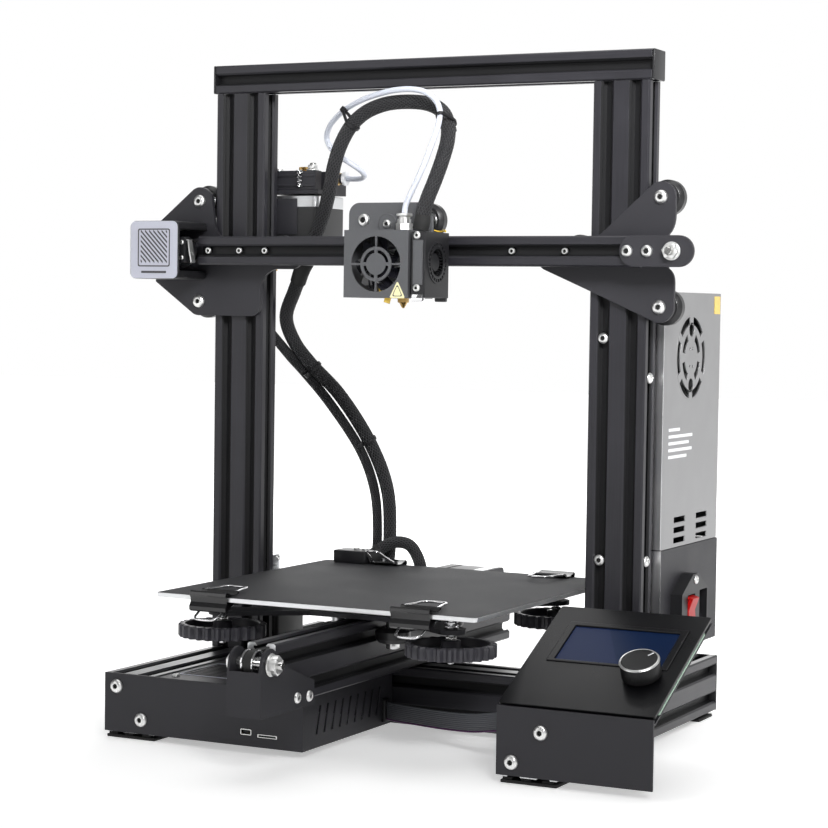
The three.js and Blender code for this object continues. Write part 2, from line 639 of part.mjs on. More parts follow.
function makeXDrive() {
  const back = PLATE_FRONT + PLATE;
  const body = motor('y', [MOTOR_X, BEAM_Z], [back + GAP, back + GAP + 38],
    [BEAM_Y - 4, back + GAP + 1]);
  part(gantry, 'x_motor', body, MOTOR_BLACK);
  const reach = PULLEY + GAP;
  const loop = racetrack(MOTOR_X, IDLER_X, reach + BELT, false);
  loop.holes.push(racetrack(MOTOR_X, IDLER_X, reach, true));
  const belt = extrude('y', loop, [BEAM_Y - BELT_WIDTH / 2, BEAM_Y + BELT_WIDTH / 2], 8);
  part(gantry, 'x_belt', belt, RUBBER);
  const half = MOTOR / 2 - 0.6;
  const front = BEAM_Y - CELL - 8;
  const shell = cut(
    extrude('y', roundedRectangle([MOTOR_X - half, MOTOR_X + half],
      [BEAM_Z - half, BEAM_Z + half], 4.5), [front, PLATE_FRONT - GAP], 4),
    block([MOTOR_X - half + 1.6, MOTOR_X + half + 1], [front + 1.8, PLATE_FRONT],
      [BEAM_Z - half + 6, BEAM_Z + half - 6]));
  part(gantry, 'x_switch_housing', shell, PLASTIC);
  const arm = new THREE.Shape();
  const armHalf = 10.2;
  arm.absarc(167.5, BEAM_Z, armHalf, Math.PI / 2, Math.PI * 1.5);
  arm.absarc(IDLER_X + 5, BEAM_Z, armHalf, -Math.PI / 2, Math.PI / 2);
  const beamFront = BEAM_Y - CELL / 2;
  const tensioner = join(
    extrude('y', arm, [beamFront - GAP - PLATE, beamFront - GAP], 8),
    rod('y', [IDLER_X, BEAM_Z], 4, [beamFront - GAP - 1, PLATE_FRONT - 1], 12));
  part(gantry, 'x_tensioner', tensioner, PLATE_BLACK);
}

// ---------------------------------------------------------------- extruder

const EXTRUDER_X = [-137.5, -95.2];
const EXTRUDER_Y = 158;
const EXTRUDER_BASE = 369.3;

function makeExtruder() {
  const centre = [(EXTRUDER_X[0] + EXTRUDER_X[1]) / 2, EXTRUDER_Y + MOTOR / 2];
  const low = SHELF_Z + PLATE + GAP;
  part(gantry, 'extruder_motor',
    motor('z', centre, [low, EXTRUDER_BASE - GAP], [low, EXTRUDER_BASE - GAP]), MOTOR_BLACK);
  const rear = EXTRUDER_Y + MOTOR;
  const base = block([EXTRUDER_X[0], EXTRUDER_X[1]], [EXTRUDER_Y, rear],
    [EXTRUDER_BASE, EXTRUDER_BASE + 3]);
  const body = block([EXTRUDER_X[0], EXTRUDER_X[1]], [EXTRUDER_Y + 17, rear],
    [EXTRUDER_BASE + 2, 386]);
  const outlet = rod('x', [EXTRUDER_Y + 21.5, 381], 4, [EXTRUDER_X[1] - 1, EXTRUDER_X[1] + 11], 12);
  const pivot = rod('z', [-131, 164], 2.4, [EXTRUDER_BASE + 2, 386], 12);
  part(gantry, 'extruder_body', join(base, body, outlet, pivot), PLATE_BLACK);
  const arm = new THREE.Shape();
  arm.moveTo(-137, 159);
  arm.lineTo(-98, 159);
  arm.lineTo(-98, 168);
  arm.lineTo(-110, 174);
  arm.lineTo(-137, 172);
  arm.holes.push(new THREE.Path().absarc(-131, 164, 2.8, 0, 2 * Math.PI, true));
  part(gantry, 'extruder_lever', extrude('z', arm, [EXTRUDER_BASE + 3 + GAP, 386]), PLATE_BLACK);
}

// ---------------------------------------------------------------- print head

const HEAD_PLATE_Y = [102, 105];
const HEAD_X = -6.7;
const HEAD_WHEEL_SPREAD = 20.8;
const SHROUD_X = [-23.5, 24.6];
const SHROUD_Y = [66, HEAD_PLATE_Y[0] - GAP];
const SHROUD_Z = [294.6, 339.6];
const FAN_X = 0.6;
const FAN_Z = 317;
const HOTEND = [9.6, 89.5];

function makeCarriage() {
  const outline = new THREE.Shape();
  outline.moveTo(-39.5, 300);
  outline.lineTo(-30, 294.6);
  outline.lineTo(24, 294.6);
  outline.lineTo(24, 350);
  outline.absarc(14, 351.5, 8, 0, Math.PI / 2);
  outline.absarc(-31.5, 351.5, 8, Math.PI / 2, Math.PI);
  part(carriage, 'carriage_plate', extrude('y', outline, HEAD_PLATE_Y, 5), SHROUD_GREY);
  const high = BEAM_Z + CELL / 2 + WHEEL_REACH;
  const low = BEAM_Z - CELL / 2 - WHEEL_REACH;
  wheel(carriage, 'head_wheel_left', [HEAD_X - HEAD_WHEEL_SPREAD, BEAM_Y, high], 'y');
  wheel(carriage, 'head_wheel_right', [HEAD_X + HEAD_WHEEL_SPREAD, BEAM_Y, high], 'y');
  wheel(carriage, 'head_wheel_low', [HEAD_X, BEAM_Y, low], 'y');
}

function makeShroud() {
  const skin = 1.2;
  const shell = cut(
    block(SHROUD_X, SHROUD_Y, SHROUD_Z),
    block([SHROUD_X[0] + skin, SHROUD_X[1] - skin], [SHROUD_Y[0] + skin, SHROUD_Y[1] + 1],
      [SHROUD_Z[0] - 1, SHROUD_Z[1] - skin]),
    rod('y', [FAN_X, FAN_Z], 19, [SHROUD_Y[0] - 1, SHROUD_Y[0] + 3], 28),
    block([3.6, 15.6], [83, SHROUD_Y[1] + 1], [SHROUD_Z[1] - 3, SHROUD_Z[1] + 1]));
  part(carriage, 'fan_shroud', shell, SHROUD_GREY);
  const fan = fanBlades(9, 17.8, 7, 8).rotateX(Math.PI / 2)
    .translate(FAN_X, SHROUD_Y[0] + 10.5, FAN_Z);
  part(carriage, 'hotend_fan', fan, PLASTIC);
}

function makeHotend() {
  const [x, y] = HOTEND;
  const column = turned([[0, 288], [0.7, 288], [3.4, 292.4], [3.4, 296], [3.4, 298], [2.2, 298],
    [2.2, 309], [10.5, 309], [10.5, 329], [4, 329], [4, 351.2], [0, 351.2]], 16)
    .translate(x, y, 0);
  const heater = block([x - 15, x + 5], [y - 6, y + 6], [295, 306]);
  part(carriage, 'hotend', join(column, heater), BRASS);
}

// A radial blower: a flat square case with its intake on the right and an outlet underneath.
function makeBlower() {
  const [x0, x1] = [27, 37.2];
  const [y0, y1] = [66, 101.6];
  const [z0, z1] = [295, 338.6];
  const shell = cut(
    block([x0, x1], [y0, y1], [z0, z1]),
    block([x0 + 1.2, x1 - 1.2], [y0 + 2, y1 - 2], [z0 + 6, z1 - 2]),
    block([x0 + 1.2, x1 - 1.2], [y0 + 2, y0 + 20], [z0 - 1, z0 + 8]),
    rod('x', [84, 318.5], 13, [x1 - 3, x1 + 1], 20));
  part(carriage, 'part_blower', shell, PLASTIC);
}

// ---------------------------------------------------------------- bed

const SCREW_HALF = BED_SCREW_SPACING / 2;
const ARM_Z = [81.5, 84.5];
const CORNERS = [[-1, -1, 'front_left'], [1, -1, 'front_right'], [-1, 1, 'rear_left'],
  [1, 1, 'rear_right']];

function makeBed() {
  const half = BED_SIZE / 2;
  const sheet = extrude('z', roundedRectangle([BED_X - half, BED_X + half],
    [BED_Y - half, BED_Y + half], 3), [BED_TOP - BED_THICKNESS, BED_TOP], 4);
  const screws = CORNERS.map(([sx, sy]) => rod('z', [BED_X + sx * SCREW_HALF,
    BED_Y + sy * SCREW_HALF], 2, [62, BED_TOP - 1], 10));
  part(bed, 'bed_plate', join(sheet, ...screws), ALUMINIUM);
  const arms = [block([BED_X - 46, BED_X + 46], [BED_Y - 60, BED_Y + 60], ARM_Z)];
  const holes = [];
  for (const [sx, sy, name] of CORNERS) {
    const [x, y] = [BED_X + sx * SCREW_HALF, BED_Y + sy * SCREW_HALF];
    const [inX, inY] = [BED_X + sx * 40, BED_Y + sy * 50];
    const arm = polygon([[inX - sx * 8, inY + sy * 10], [inX + sx * 6, inY - sy * 14],
      [x + sx * 7, y - sy * 7], [x - sx * 7, y + sy * 7]]);
    arms.push(extrude('z', arm, ARM_Z), rod('z', [x, y], 9.5, ARM_Z, 12));
    holes.push(rod('z', [x, y], 2.6, [ARM_Z[0] - 1, ARM_Z[1] + 1], 10));
    makeLevellingWheel(name, x, y);
  }
  part(bed, 'bed_carriage', cut(join(...arms), ...holes), PLATE_BLACK);
}

const LEVEL_RADIUS = 29.6;
const LEVEL_LOBES = 26;
const LEVEL_Z = [67, 75.5];

function makeLevellingWheel(name, x, y) {
  const outline = [];
  for (let i = 0; i < LEVEL_LOBES * 2; i += 1) {
    const turn = (Math.PI * (i + 0.5)) / LEVEL_LOBES;
    const radius = LEVEL_RADIUS - (Math.floor(i / 2) % 2 ? 0 : 1.8);
    outline.push([x + radius * Math.cos(turn), y + radius * Math.sin(turn)]);
  }
  const disc = cut(
    extrude('z', polygon(outline), LEVEL_Z),
    rod('z', [x, y], LEVEL_RADIUS - 5, [LEVEL_Z[0] + 3, LEVEL_Z[1] + 1], 9));
  const hub = cut(
    join(disc, rod('z', [x, y], 6.5, [LEVEL_Z[0] + 2, LEVEL_Z[1] + 2], 6)),
    rod('z', [x, y], 2.35, [LEVEL_Z[0] - 1, LEVEL_Z[1] + 3], 5));
  part(bed, `levelling_wheel_${name}`, hub, THUMBWHEEL);
}

// ---------------------------------------------------------------- tubes and cables

const FEED_TUBE = [[-83.8, 179.5, 381], [-76, 179.3, 380.6], [-69.3, 176.8, 381], [-64.9, 171.5, 383],
  [-65.5, 164.8, 386.6], [-71.2, 160, 391.2], [-79, 158, 396.4], [-85.4, 157.4, 402.4],
  [-87.2, 155.6, 408.9], [-82.1, 150.4, 416.1], [-72.3, 143.4, 422.3],
  [-59.4, 135, 427.4], [-43.1, 126, 431.7], [-26.9, 118.5, 434.6],
  [-10.8, 112.5, 436.3], [4.8, 108, 436], [16.9, 104.5, 433.1], [26.2, 101, 427],
  [31.2, 97, 419.2], [31.9, 93, 409.7], [29, 89.9, 397.4], [24, 88.2, 383],
  [17.6, 88.4, 370.2], [12.8, 89, 361.6], [10.3, 89.4, 356.4], [9.6, 89.5, 351.8]];
const HEAD_CABLE = [[24, 87, 345], [25.4, 87.6, 354.8], [27.6, 89, 362.9], [30.1, 91.8, 371.8],
  [33.5, 97, 387.4], [34.8, 102, 400.9], [32.3, 107, 412.3], [25.4, 111.5, 421.1],
  [12.8, 116, 426.7], [-8.9, 120.5, 429], [-26.4, 123.5, 427.5], [-41.2, 125.3, 422.3],
  [-51.8, 126, 413.8], [-59.8, 126.4, 401.3], [-65.7, 128.2, 387.6],
  [-72.1, 133.6, 371.1], [-81.3, 141.2, 352.7], [-89.6, 145.6, 339],
  [-95.6, 146.2, 327.6], [-101, 147, 314.6]];
const GANTRY_CABLE = [[-106, 150.6, 307], [-112, 155, 299], [-123, 163, 280], [-122, 174, 262],
  [-114, 183, 247], [-98, 200, 223.4], [-82, 222, 184.5], [-76, 236, 152], [-77, 243, 118],
  [-79, 244.5, 98], [-81, 243, 78], [-84, 235, 56], [-88, 215, 36], [-90, 190, 22],
  [-90, 176, 20], [-90, 164.8, 20]];
const BED_CABLE = [[-81.5, 225, 103], [-76, 228, 109], [-67, 233, 113.5], [-58, 238, 111.5],
  [-52, 241.5, 101], [-50, 243, 88], [-52, 240, 70], [-58, 225, 50], [-64, 200, 34],
  [-68, 186, 24], [-70, 175, 20], [-70, 164.8, 20]];

function makeCables() {
  part(gantry, 'feed_tube', tube(FEED_TUBE, 2, 52), PTFE);
  part(gantry, 'head_cable', tube(HEAD_CABLE, 5, 30), SLEEVE);
  part(frame, 'gantry_cable', tube(GANTRY_CABLE, 5, 28), SLEEVE);
  part(frame, 'bed_cable', tube(BED_CABLE, 4.5, 22), SLEEVE);
}

// ---------------------------------------------------------------- assembly

makeFrame();
makeYRail();
makeZDrive();
makeYDrive();
makeYIdler();
makeElectronics();
makePowerSupply();
makeSupplyMovers();
makeControlPanel();
makeRibbon();
makeGantryWheels();
makeGantry();
makeXDrive();
makeExtruder();
makeCarriage();
makeShroud();
makeHotend();
makeBlower();
makeBed();
makeCables();

// The reference point is the middle of the footprint, on the surface it stands on.
const extent = new THREE.Box3().setFromObject(printer);
const middle = extent.getCenter(new THREE.Vector3());
printer.position.set(-middle.x, -middle.y, -extent.min.z);

export default printer;
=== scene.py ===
"""Looks for the desktop filament printer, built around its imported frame.

Lengths in this script are machine millimetres: x from the middle of the frame, y from the front
of the side rails, z from their underside. at() takes them to the row frame in metres.
"""

import math
import random

import bmesh
import bpy
from mathutils import Matrix, Vector


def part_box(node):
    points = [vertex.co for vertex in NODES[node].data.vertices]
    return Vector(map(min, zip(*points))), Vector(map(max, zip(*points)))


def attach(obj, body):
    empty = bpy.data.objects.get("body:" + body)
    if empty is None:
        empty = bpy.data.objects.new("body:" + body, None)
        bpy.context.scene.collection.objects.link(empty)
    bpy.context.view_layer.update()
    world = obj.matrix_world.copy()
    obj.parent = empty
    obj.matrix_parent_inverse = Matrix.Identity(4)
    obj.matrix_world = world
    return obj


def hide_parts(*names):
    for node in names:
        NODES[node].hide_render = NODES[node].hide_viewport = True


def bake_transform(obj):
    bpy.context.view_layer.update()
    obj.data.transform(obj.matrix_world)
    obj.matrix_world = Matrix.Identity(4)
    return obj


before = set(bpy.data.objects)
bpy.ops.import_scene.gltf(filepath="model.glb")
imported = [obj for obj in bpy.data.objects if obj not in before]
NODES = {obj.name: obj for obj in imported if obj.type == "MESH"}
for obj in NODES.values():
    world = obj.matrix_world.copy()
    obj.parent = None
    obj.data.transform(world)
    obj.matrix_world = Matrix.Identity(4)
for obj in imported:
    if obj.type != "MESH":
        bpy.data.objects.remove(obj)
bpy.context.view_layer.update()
MM = 0.001
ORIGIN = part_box("rail_left")[0] + Vector((0.166, 0, 0))


def at(x, y, z):
    """A machine point in millimetres as a row frame point in metres."""
    return ORIGIN + Vector((x, y, z)) * MM


# ---------------------------------------------------------------- places on the machine

BED = (-6, 112)  # middle of the bed and of its rail
CORNER_SIGNS = ((-1, -1), (1, -1), (-1, 1), (1, 1))
BED_ROLLERS = [(BED[0] + sx * 20.75, BED[1] + sy * 41) for sx, sy in CORNER_SIGNS]
Y_IDLER, Y_MOTOR, Y_BELT_Z = -76, 297, 69  # pulleys of the bed's belt
BEAM_Z = 327  # height of the gantry beam's axis
WHEEL_RISE = 36  # from that axis to the outer gantry wheels
OUTER_WHEEL, INNER_WHEEL, WHEEL_Y = 176.75, 115.25, 144
PLATE_FRONT = 129.6  # front face of the gantry plates
X_MOTOR, X_IDLER, BELT_Y = -190.5, 193, 119.3  # pulleys of the head's belt
MOTOR_FACE = 91.3  # closed end of the X motor
LEAD_SCREW = (-144, 175.6)
EXTRUDER = (-116.35, 179.15)  # axis of the extruder's motor
HEAD_WHEELS = (("left", -27.5, 347.75), ("right", 14.1, 347.75), ("low", -6.7, 306.25))
SHROUD_FRONT, FAN = 66, (0.6, 317)
BLOWER = (84, 318.5)
NOZZLE = (9.6, 89.5)
SUPPLY_SIDE, SUPPLY_FAN = 171, (210, 257)


# ---------------------------------------------------------------- camera and light

AZIMUTH, ELEVATION, ROLL = (math.radians(v) for v in (26.656, 2.656, 0.831))
TARGET = at(-11.5, 150, 214.07)
DISTANCE = 1.5841


def make_camera():
    right = Vector((math.cos(AZIMUTH), math.sin(AZIMUTH), 0))
    back = Vector((math.sin(AZIMUTH) * math.cos(ELEVATION),
                   -math.cos(AZIMUTH) * math.cos(ELEVATION), math.sin(ELEVATION)))
    up = back.cross(right)
    across = right * math.cos(ROLL) + up * math.sin(ROLL)
    upward = up * math.cos(ROLL) - right * math.sin(ROLL)
    camera = bpy.data.objects.new("camera", bpy.data.cameras.new("camera"))
    bpy.context.scene.collection.objects.link(camera)
    place = Matrix((across, upward, back)).transposed().to_4x4()
    place.translation = TARGET + back * DISTANCE
    camera.matrix_world = place
    camera.data.lens = 98.29
    camera.data.sensor_width = 36
    camera.data.clip_start, camera.data.clip_end = 0.05, 30
    bpy.context.scene.camera = camera


def area_light(name, position, size, power, aim=(0, 0, 0.2), spread=180):
    data = bpy.data.lights.new(name, "AREA")
    data.shape = "RECTANGLE"
    data.size, data.size_y = size
    data.energy = power
    data.spread = math.radians(spread)
    light = bpy.data.objects.new(name, data)
    bpy.context.scene.collection.objects.link(light)
    light.location = position
    light.rotation_euler = (Vector(aim) - Vector(position)).to_track_quat("-Z", "Y").to_euler()


def make_world():
    """A white backdrop low behind the machine, and a dimmer room in front of it and overhead."""
    world = bpy.data.worlds.new("studio")
    bpy.context.scene.world = world
    world.use_nodes = True
    nodes, links = world.node_tree.nodes, world.node_tree.links
    split = nodes.new("ShaderNodeSeparateXYZ")
    links.new(nodes.new("ShaderNodeTexCoord").outputs["Generated"], split.inputs[0])

    def share(output, start, stop):
        ranged = nodes.new("ShaderNodeMapRange")
        ranged.interpolation_type = "SMOOTHSTEP"
        links.new(output, ranged.inputs["Value"])
        ranged.inputs["From Min"].default_value = start
        ranged.inputs["From Max"].default_value = stop
        return ranged.outputs["Result"]

    both = nodes.new("ShaderNodeMath")
    both.operation = "MULTIPLY"
    links.new(share(split.outputs["Y"], 0.1, 0.55), both.inputs[0])
    links.new(share(split.outputs["Z"], 0.5, 0.25), both.inputs[1])
    level = nodes.new("ShaderNodeMapRange")
    links.new(both.outputs[0], level.inputs["Value"])
    level.inputs["To Min"].default_value = ROOM
    links.new(level.outputs["Result"], nodes["Background"].inputs["Strength"])
    nodes["Background"].inputs["Color"].default_value = (1, 1, 1, 1)


ROOM = 0.16  # brightness of the room beside the backdrop's 1.0


def floor_finish():
    """White paper with painted light: a faint glow under the machine, rising to full glow further out like
    a lit cyclorama.
    """
    material = bpy.data.materials.new("floor_white")
    graph = Graph(material)
    place = graph.node("ShaderNodeSeparateXYZ", Vector=graph.node("ShaderNodeTexCoord").outputs["Object"])
    x, y = place.outputs[0], place.outputs[1]
    away = graph.math("ADD", graph.math("MULTIPLY", x, x), graph.math("MULTIPLY", y, y))
    graph.link(graph.ramp(away, 0.42, 1.0, 0.4 ** 2, 1.3 ** 2), "Emission Strength")
    fibre = graph.ramp(graph.noise(400), 0.88, 0.92)
    graph.link(graph.mix(fibre, (0.86, 0.86, 0.86), (0.92, 0.92, 0.92)), "Base Color")
    graph.shader.inputs["Emission Color"].default_value = (1, 1, 1, 1)
    graph.shader.inputs["Roughness"].default_value = 0.9
    graph.shader.inputs["Specular IOR Level"].default_value = 0.1
    return material


def make_studio():
    make_world()
    area_light("key", (0.8, -0.95, 1.0), (0.4, 0.5), 2.4, (0.12, 0.1, 0.47), 42)
    area_light("fill", (-1.2, -1.7, 0.9), (0.9, 1.2), 5)
    area_light("side", (1.9, 0.75, 0.8), (0.5, 1.4), 4.5)
    area_light("top", (0, 0.2, 2.0), (1.8, 1.8), 20)
    area_light("back", (-0.8, 1.7, 0.9), (1.0, 1.4), 8)
    floor_mesh = bpy.data.meshes.new("floor")
    reach = 6
    floor_mesh.from_pydata([(-reach, -reach, 0), (reach, -reach, 0), (reach, reach, 0),
                            (-reach, reach, 0)], [], [(0, 1, 2, 3)])
    floor = bpy.data.objects.new("floor", floor_mesh)
    bpy.context.scene.collection.objects.link(floor)
    floor.data.materials.append(floor_finish())
    bpy.context.scene.view_settings.view_transform = "Standard"


# ---------------------------------------------------------------- materials

MATERIALS = {}


class Graph:
    """A short way to write a node tree."""

    def __init__(self, material):
        material.use_nodes = True
        self.tree = material.node_tree
        self.shader = self.tree.nodes["Principled BSDF"]

    def node(self, kind, **settings):
        made = self.tree.nodes.new(kind)
        for key, value in settings.items():
            socket = made.inputs.get(key.replace("_", " "))
            if socket is not None:
                if hasattr(value, "links"):
                    self.tree.links.new(value, socket)
                else:
                    socket.default_value = value
            else:
                setattr(made, key, value)
        return made

    def math(self, operation, a, b=0.0):
        made = self.tree.nodes.new("ShaderNodeMath")
        made.operation = operation
        for socket, value in zip(made.inputs, (a, b)):
            if hasattr(value, "links"):
                self.tree.links.new(value, socket)
            else:
                socket.default_value = value
        return made.outputs[0]

    def ramp(self, value, low, high, from_low=0.0, from_high=1.0):
        made = self.node("ShaderNodeMapRange", Value=value)
        for key, number in (("From Min", from_low), ("From Max", from_high), ("To Min", low),
                            ("To Max", high)):
            made.inputs[key].default_value = number
        return made.outputs["Result"]

    def mix(self, factor, a, b):
        made = self.tree.nodes.new("ShaderNodeMix")
        made.data_type = "RGBA"
        for index, value in ((0, factor), (6, a), (7, b)):
            if hasattr(value, "links"):
                self.tree.links.new(value, made.inputs[index])
            elif index:
                made.inputs[index].default_value = (*value[:3], 1)
            else:
                made.inputs[index].default_value = value
        return made.outputs[2]

    def noise(self, scale, stretch=(1, 1, 1), detail=3.0):
        place = self.node("ShaderNodeTexCoord").outputs["Object"]
        mapping = self.node("ShaderNodeMapping", Vector=place)
        mapping.inputs["Scale"].default_value = stretch
        made = self.node("ShaderNodeTexNoise", Vector=mapping.outputs[0])
        made.inputs["Scale"].default_value = scale
        made.inputs["Detail"].default_value = detail
        return made.outputs[0]

    def bump(self, height, depth):
        made = self.node("ShaderNodeBump", Height=height, Distance=depth)
        made.inputs["Strength"].default_value = 1.0
        self.link(made.outputs[0], "Normal")

    def link(self, output, name):
        self.tree.links.new(output, self.shader.inputs[name])


def surface(name, color, roughness, metal=0.0, vary=0.12, grain=900, stretch=(1, 1, 1),
            relief=0.0, shine=0.5, coat=0.0):
    """A finish with uneven tone and gloss, and a fine relief."""
    if name in MATERIALS:
        return MATERIALS[name]
    material = bpy.data.materials.new(name)
    graph = Graph(material)
    graph.shader.inputs["Metallic"].default_value = metal
    graph.shader.inputs["Specular IOR Level"].default_value = shine
    graph.shader.inputs["Coat Weight"].default_value = coat
    clouds = graph.noise(35)
    fine = graph.noise(grain, stretch, 2.0)
    tone = graph.math("ADD", graph.math("MULTIPLY", clouds, 0.5), graph.math("MULTIPLY", fine, 0.5))
    low = [max(0, c * (1 - vary)) for c in color]
    high = [min(1, c * (1 + vary)) for c in color]
    base = graph.mix(graph.ramp(tone, 0, 1, 0.3, 0.7), low, high)
    graph.link(base, "Base Color")
    graph.link(graph.ramp(tone, roughness * 0.88, roughness * 1.12, 0.3, 0.7), "Roughness")
    if relief:
        graph.bump(fine, relief)
    MATERIALS[name] = material
    return material


def drawn(axis):
    """Black anodised extrusion, with faint die lines along its length."""
    stretch = {"x": (0.02, 1, 1), "y": (1, 0.02, 1), "z": (1, 1, 0.02)}[axis]
    return surface(f"anodised_{axis}", (0.021, 0.0205, 0.025), 0.36, vary=0.22, grain=1400,
                   stretch=stretch, relief=0.00002, shine=0.35)


# Painted shade: a darker copy of the anodised black for the faces inside the extrusions' slots and bores,
# standing in for the shade there.
SLOT_PAINTED_SHADE = surface("anodised_slot_painted_shade", (0.008, 0.008, 0.009), 0.5, vary=0.2, shine=0.25)
POWDER = surface("powder_coat", (0.024, 0.0235, 0.028), 0.5, grain=2600, relief=0.00004,
                 shine=0.35)
SATIN_GREY = surface("satin_grey", (0.092, 0.094, 0.1), 0.42, grain=2400, relief=0.00003, metal=0.3)
PLASTIC = surface("moulded_black", (0.011, 0.011, 0.0125), 0.42, grain=1800, relief=0.00003,
                  shine=0.4)
GLOSS = surface("gloss_black", (0.008, 0.008, 0.011), 0.08, vary=0.1, coat=0.6)
RUBBER = surface("rubber_black", (0.012, 0.012, 0.012), 0.8, grain=1500, relief=0.00005)
WHEEL = surface("wheel_black", (0.012, 0.012, 0.013), 0.35, grain=700, relief=0.00001)
STEEL = surface("bright_steel", (0.62, 0.62, 0.61), 0.2, metal=1.0, grain=500, relief=0.00001)
BOLT = surface("bright_bolt", (0.86, 0.86, 0.85), 0.36, metal=1.0, vary=0.03)
CHROME = surface("chrome", (0.8, 0.8, 0.81), 0.09, metal=1.0, vary=0.04)
ALUMINIUM = surface("sawn_aluminium", (0.68, 0.69, 0.7), 0.32, metal=1.0, grain=900,
                    stretch=(1, 1, 6), relief=0.00002)
PLATE_EDGE = surface("milled_plate", (0.8, 0.81, 0.82), 0.3, metal=0.85, grain=1200,
                     stretch=(0.1, 0.1, 1), relief=0.00002)
GALVANISED = surface("case_grey", (0.3, 0.3, 0.305), 0.38, metal=0.75, vary=0.08, grain=60,
                     relief=0.00002)
BRASS = surface("brass", (0.56, 0.37, 0.13), 0.28, metal=1.0, grain=800, relief=0.00001)
WHITE = surface("white_plastic", (0.82, 0.83, 0.85), 0.35, vary=0.03)
RED = surface("rocker_red", (0.42, 0.004, 0.004), 0.35, vary=0.08, grain=900,
              shine=0.3)
BED_COAT = surface("bed_coating", (0.034, 0.034, 0.037), 0.7, vary=0.35, grain=3500,
                   relief=0.0001, shine=0.25)
THUMB = surface("thumbwheel", (0.035, 0.034, 0.042), 0.42, grain=1600, relief=0.00003)
PANEL_BLACK = surface("panel_black", (0.0045, 0.0045, 0.0055), 0.3, vary=0.1, relief=0.000005,
                      shine=0.3)
KNOB_BLACK = surface("knob_black", (0.006, 0.006, 0.0065), 0.38, vary=0.1, grain=1500,
                     shine=0.4)
CLIP_BLACK = surface("clip_black", (0.012, 0.012, 0.013), 0.22, vary=0.1, coat=0.3)
# Painted highlight: a brighter, fully metallic copy of the supply case's grey, given only to its front
# faces.
CASE_FRONT_PAINTED_HIGHLIGHT = surface("case_front_painted_highlight", (0.8, 0.8, 0.81), 0.3, metal=1.0, vary=0.05, grain=60)
BOARD = surface("board_green", (0.03, 0.16, 0.08), 0.3, vary=0.2, coat=0.4)
BOARD_EDGE = surface("board_edge", (0.36, 0.5, 0.4), 0.4, vary=0.1)
LABEL = surface("label_silver", (0.46, 0.47, 0.54), 0.45, vary=0.04, relief=0.00001,
                shine=0.3)
LABEL_INK = surface("label_ink", (0.05, 0.05, 0.055), 0.5, vary=0.04)
STICKER = surface("sticker_cream", (0.72, 0.68, 0.4), 0.45, vary=0.05)
YELLOW = surface("yellow_film", (0.75, 0.5, 0.05), 0.3, vary=0.1, coat=0.5)
MOTOR_STACK = surface("motor_stack", (0.018, 0.018, 0.019), 0.45, vary=0.3, grain=2200,
                      stretch=(0.05, 0.05, 1), relief=0.00004)
# Painted shade: a matt near-black plug sunk in the screw sockets stands in for the shade inside them; the
# supply fan's rotor also uses this black.
RECESS_BLACK_PAINTED_SHADE = surface("recess_black_painted_shade", (0.003, 0.003, 0.003), 0.9, vary=0.1)
BELT = surface("belt_black", (0.015, 0.015, 0.015), 0.7, grain=2500, relief=0.00003)
RIBBON = surface("ribbon_grey", (0.085, 0.088, 0.098), 0.45, vary=0.1, shine=0.3)
RIBBON_EDGE = surface("ribbon_purple", (0.075, 0.02, 0.08), 0.45, vary=0.1, shine=0.3)


def ptfe():
    return surface("feed_tube_white", (0.6, 0.63, 0.71), 0.3, vary=0.04, coat=0.3)


def braid():
    """Woven sleeve: crossing bands of glossy filaments, laid out along the tube, with a painted sheen
    along each thread and gaps darkened, partly as painted shade, in the base colour.
    """
    material = bpy.data.materials.new("braided_sleeve")
    graph = Graph(material)
    split = graph.node("ShaderNodeSeparateXYZ", Vector=graph.node("ShaderNodeTexCoord").outputs["UV"])
    turns = graph.math("MULTIPLY", split.outputs[0], BRAID_STRANDS * math.tau)
    along = graph.math("MULTIPLY", split.outputs[1], BRAID_PITCH * math.tau)
    left = graph.math("SINE", graph.math("ADD", turns, along))
    right = graph.math("SINE", graph.math("SUBTRACT", turns, along))
    weave = graph.math("MAXIMUM", left, right)
    gaps = graph.ramp(weave, 0.0, 1.0, 0.15, 0.8)
    threads = graph.math("SINE", graph.math("MULTIPLY", graph.math("ADD", turns, along), 5.0))
    # painted sheen on the thread crests; the dark gaps are partly painted shade
    sheen = graph.math("MULTIPLY", gaps, graph.ramp(threads, 0.5, 1.0, -1, 1))
    graph.link(graph.mix(sheen, (0.006, 0.006, 0.007), (0.04, 0.04, 0.044)), "Base Color")
    graph.link(graph.ramp(sheen, 0.8, 0.38), "Roughness")
    graph.bump(sheen, 0.0004)
    return material


def screen_glass():
    """A blank blue display, its base colour painted lighter in its upper part as a reflection of the room.
    """
    material = bpy.data.materials.new("display_blue")
    graph = Graph(material)
    place = graph.node("ShaderNodeSeparateXYZ", Vector=graph.node("ShaderNodeTexCoord").outputs["Object"])
    slope = graph.math("ADD", place.outputs[0], graph.math("MULTIPLY", place.outputs[1], 0.55))
    edge = graph.ramp(slope, 0, 1, at(177, 60, 0).x + at(0, 60, 0).y * 0.55 - 0.0006,
                      at(177, 60, 0).x + at(0, 60, 0).y * 0.55 + 0.0006)
    # painted reflection: lighter blue on one side of a slanted line
    base = graph.mix(edge, (0.009, 0.019, 0.062), (0.001, 0.011, 0.045))
    speck = graph.mix(graph.ramp(graph.noise(2500), 0, 0.25), base, (0.02, 0.033, 0.09))
    graph.link(speck, "Base Color")
    graph.shader.inputs["Roughness"].default_value = 0.3
    graph.shader.inputs["Specular IOR Level"].default_value = 0.12
    return material


# ---------------------------------------------------------------- mesh helpers

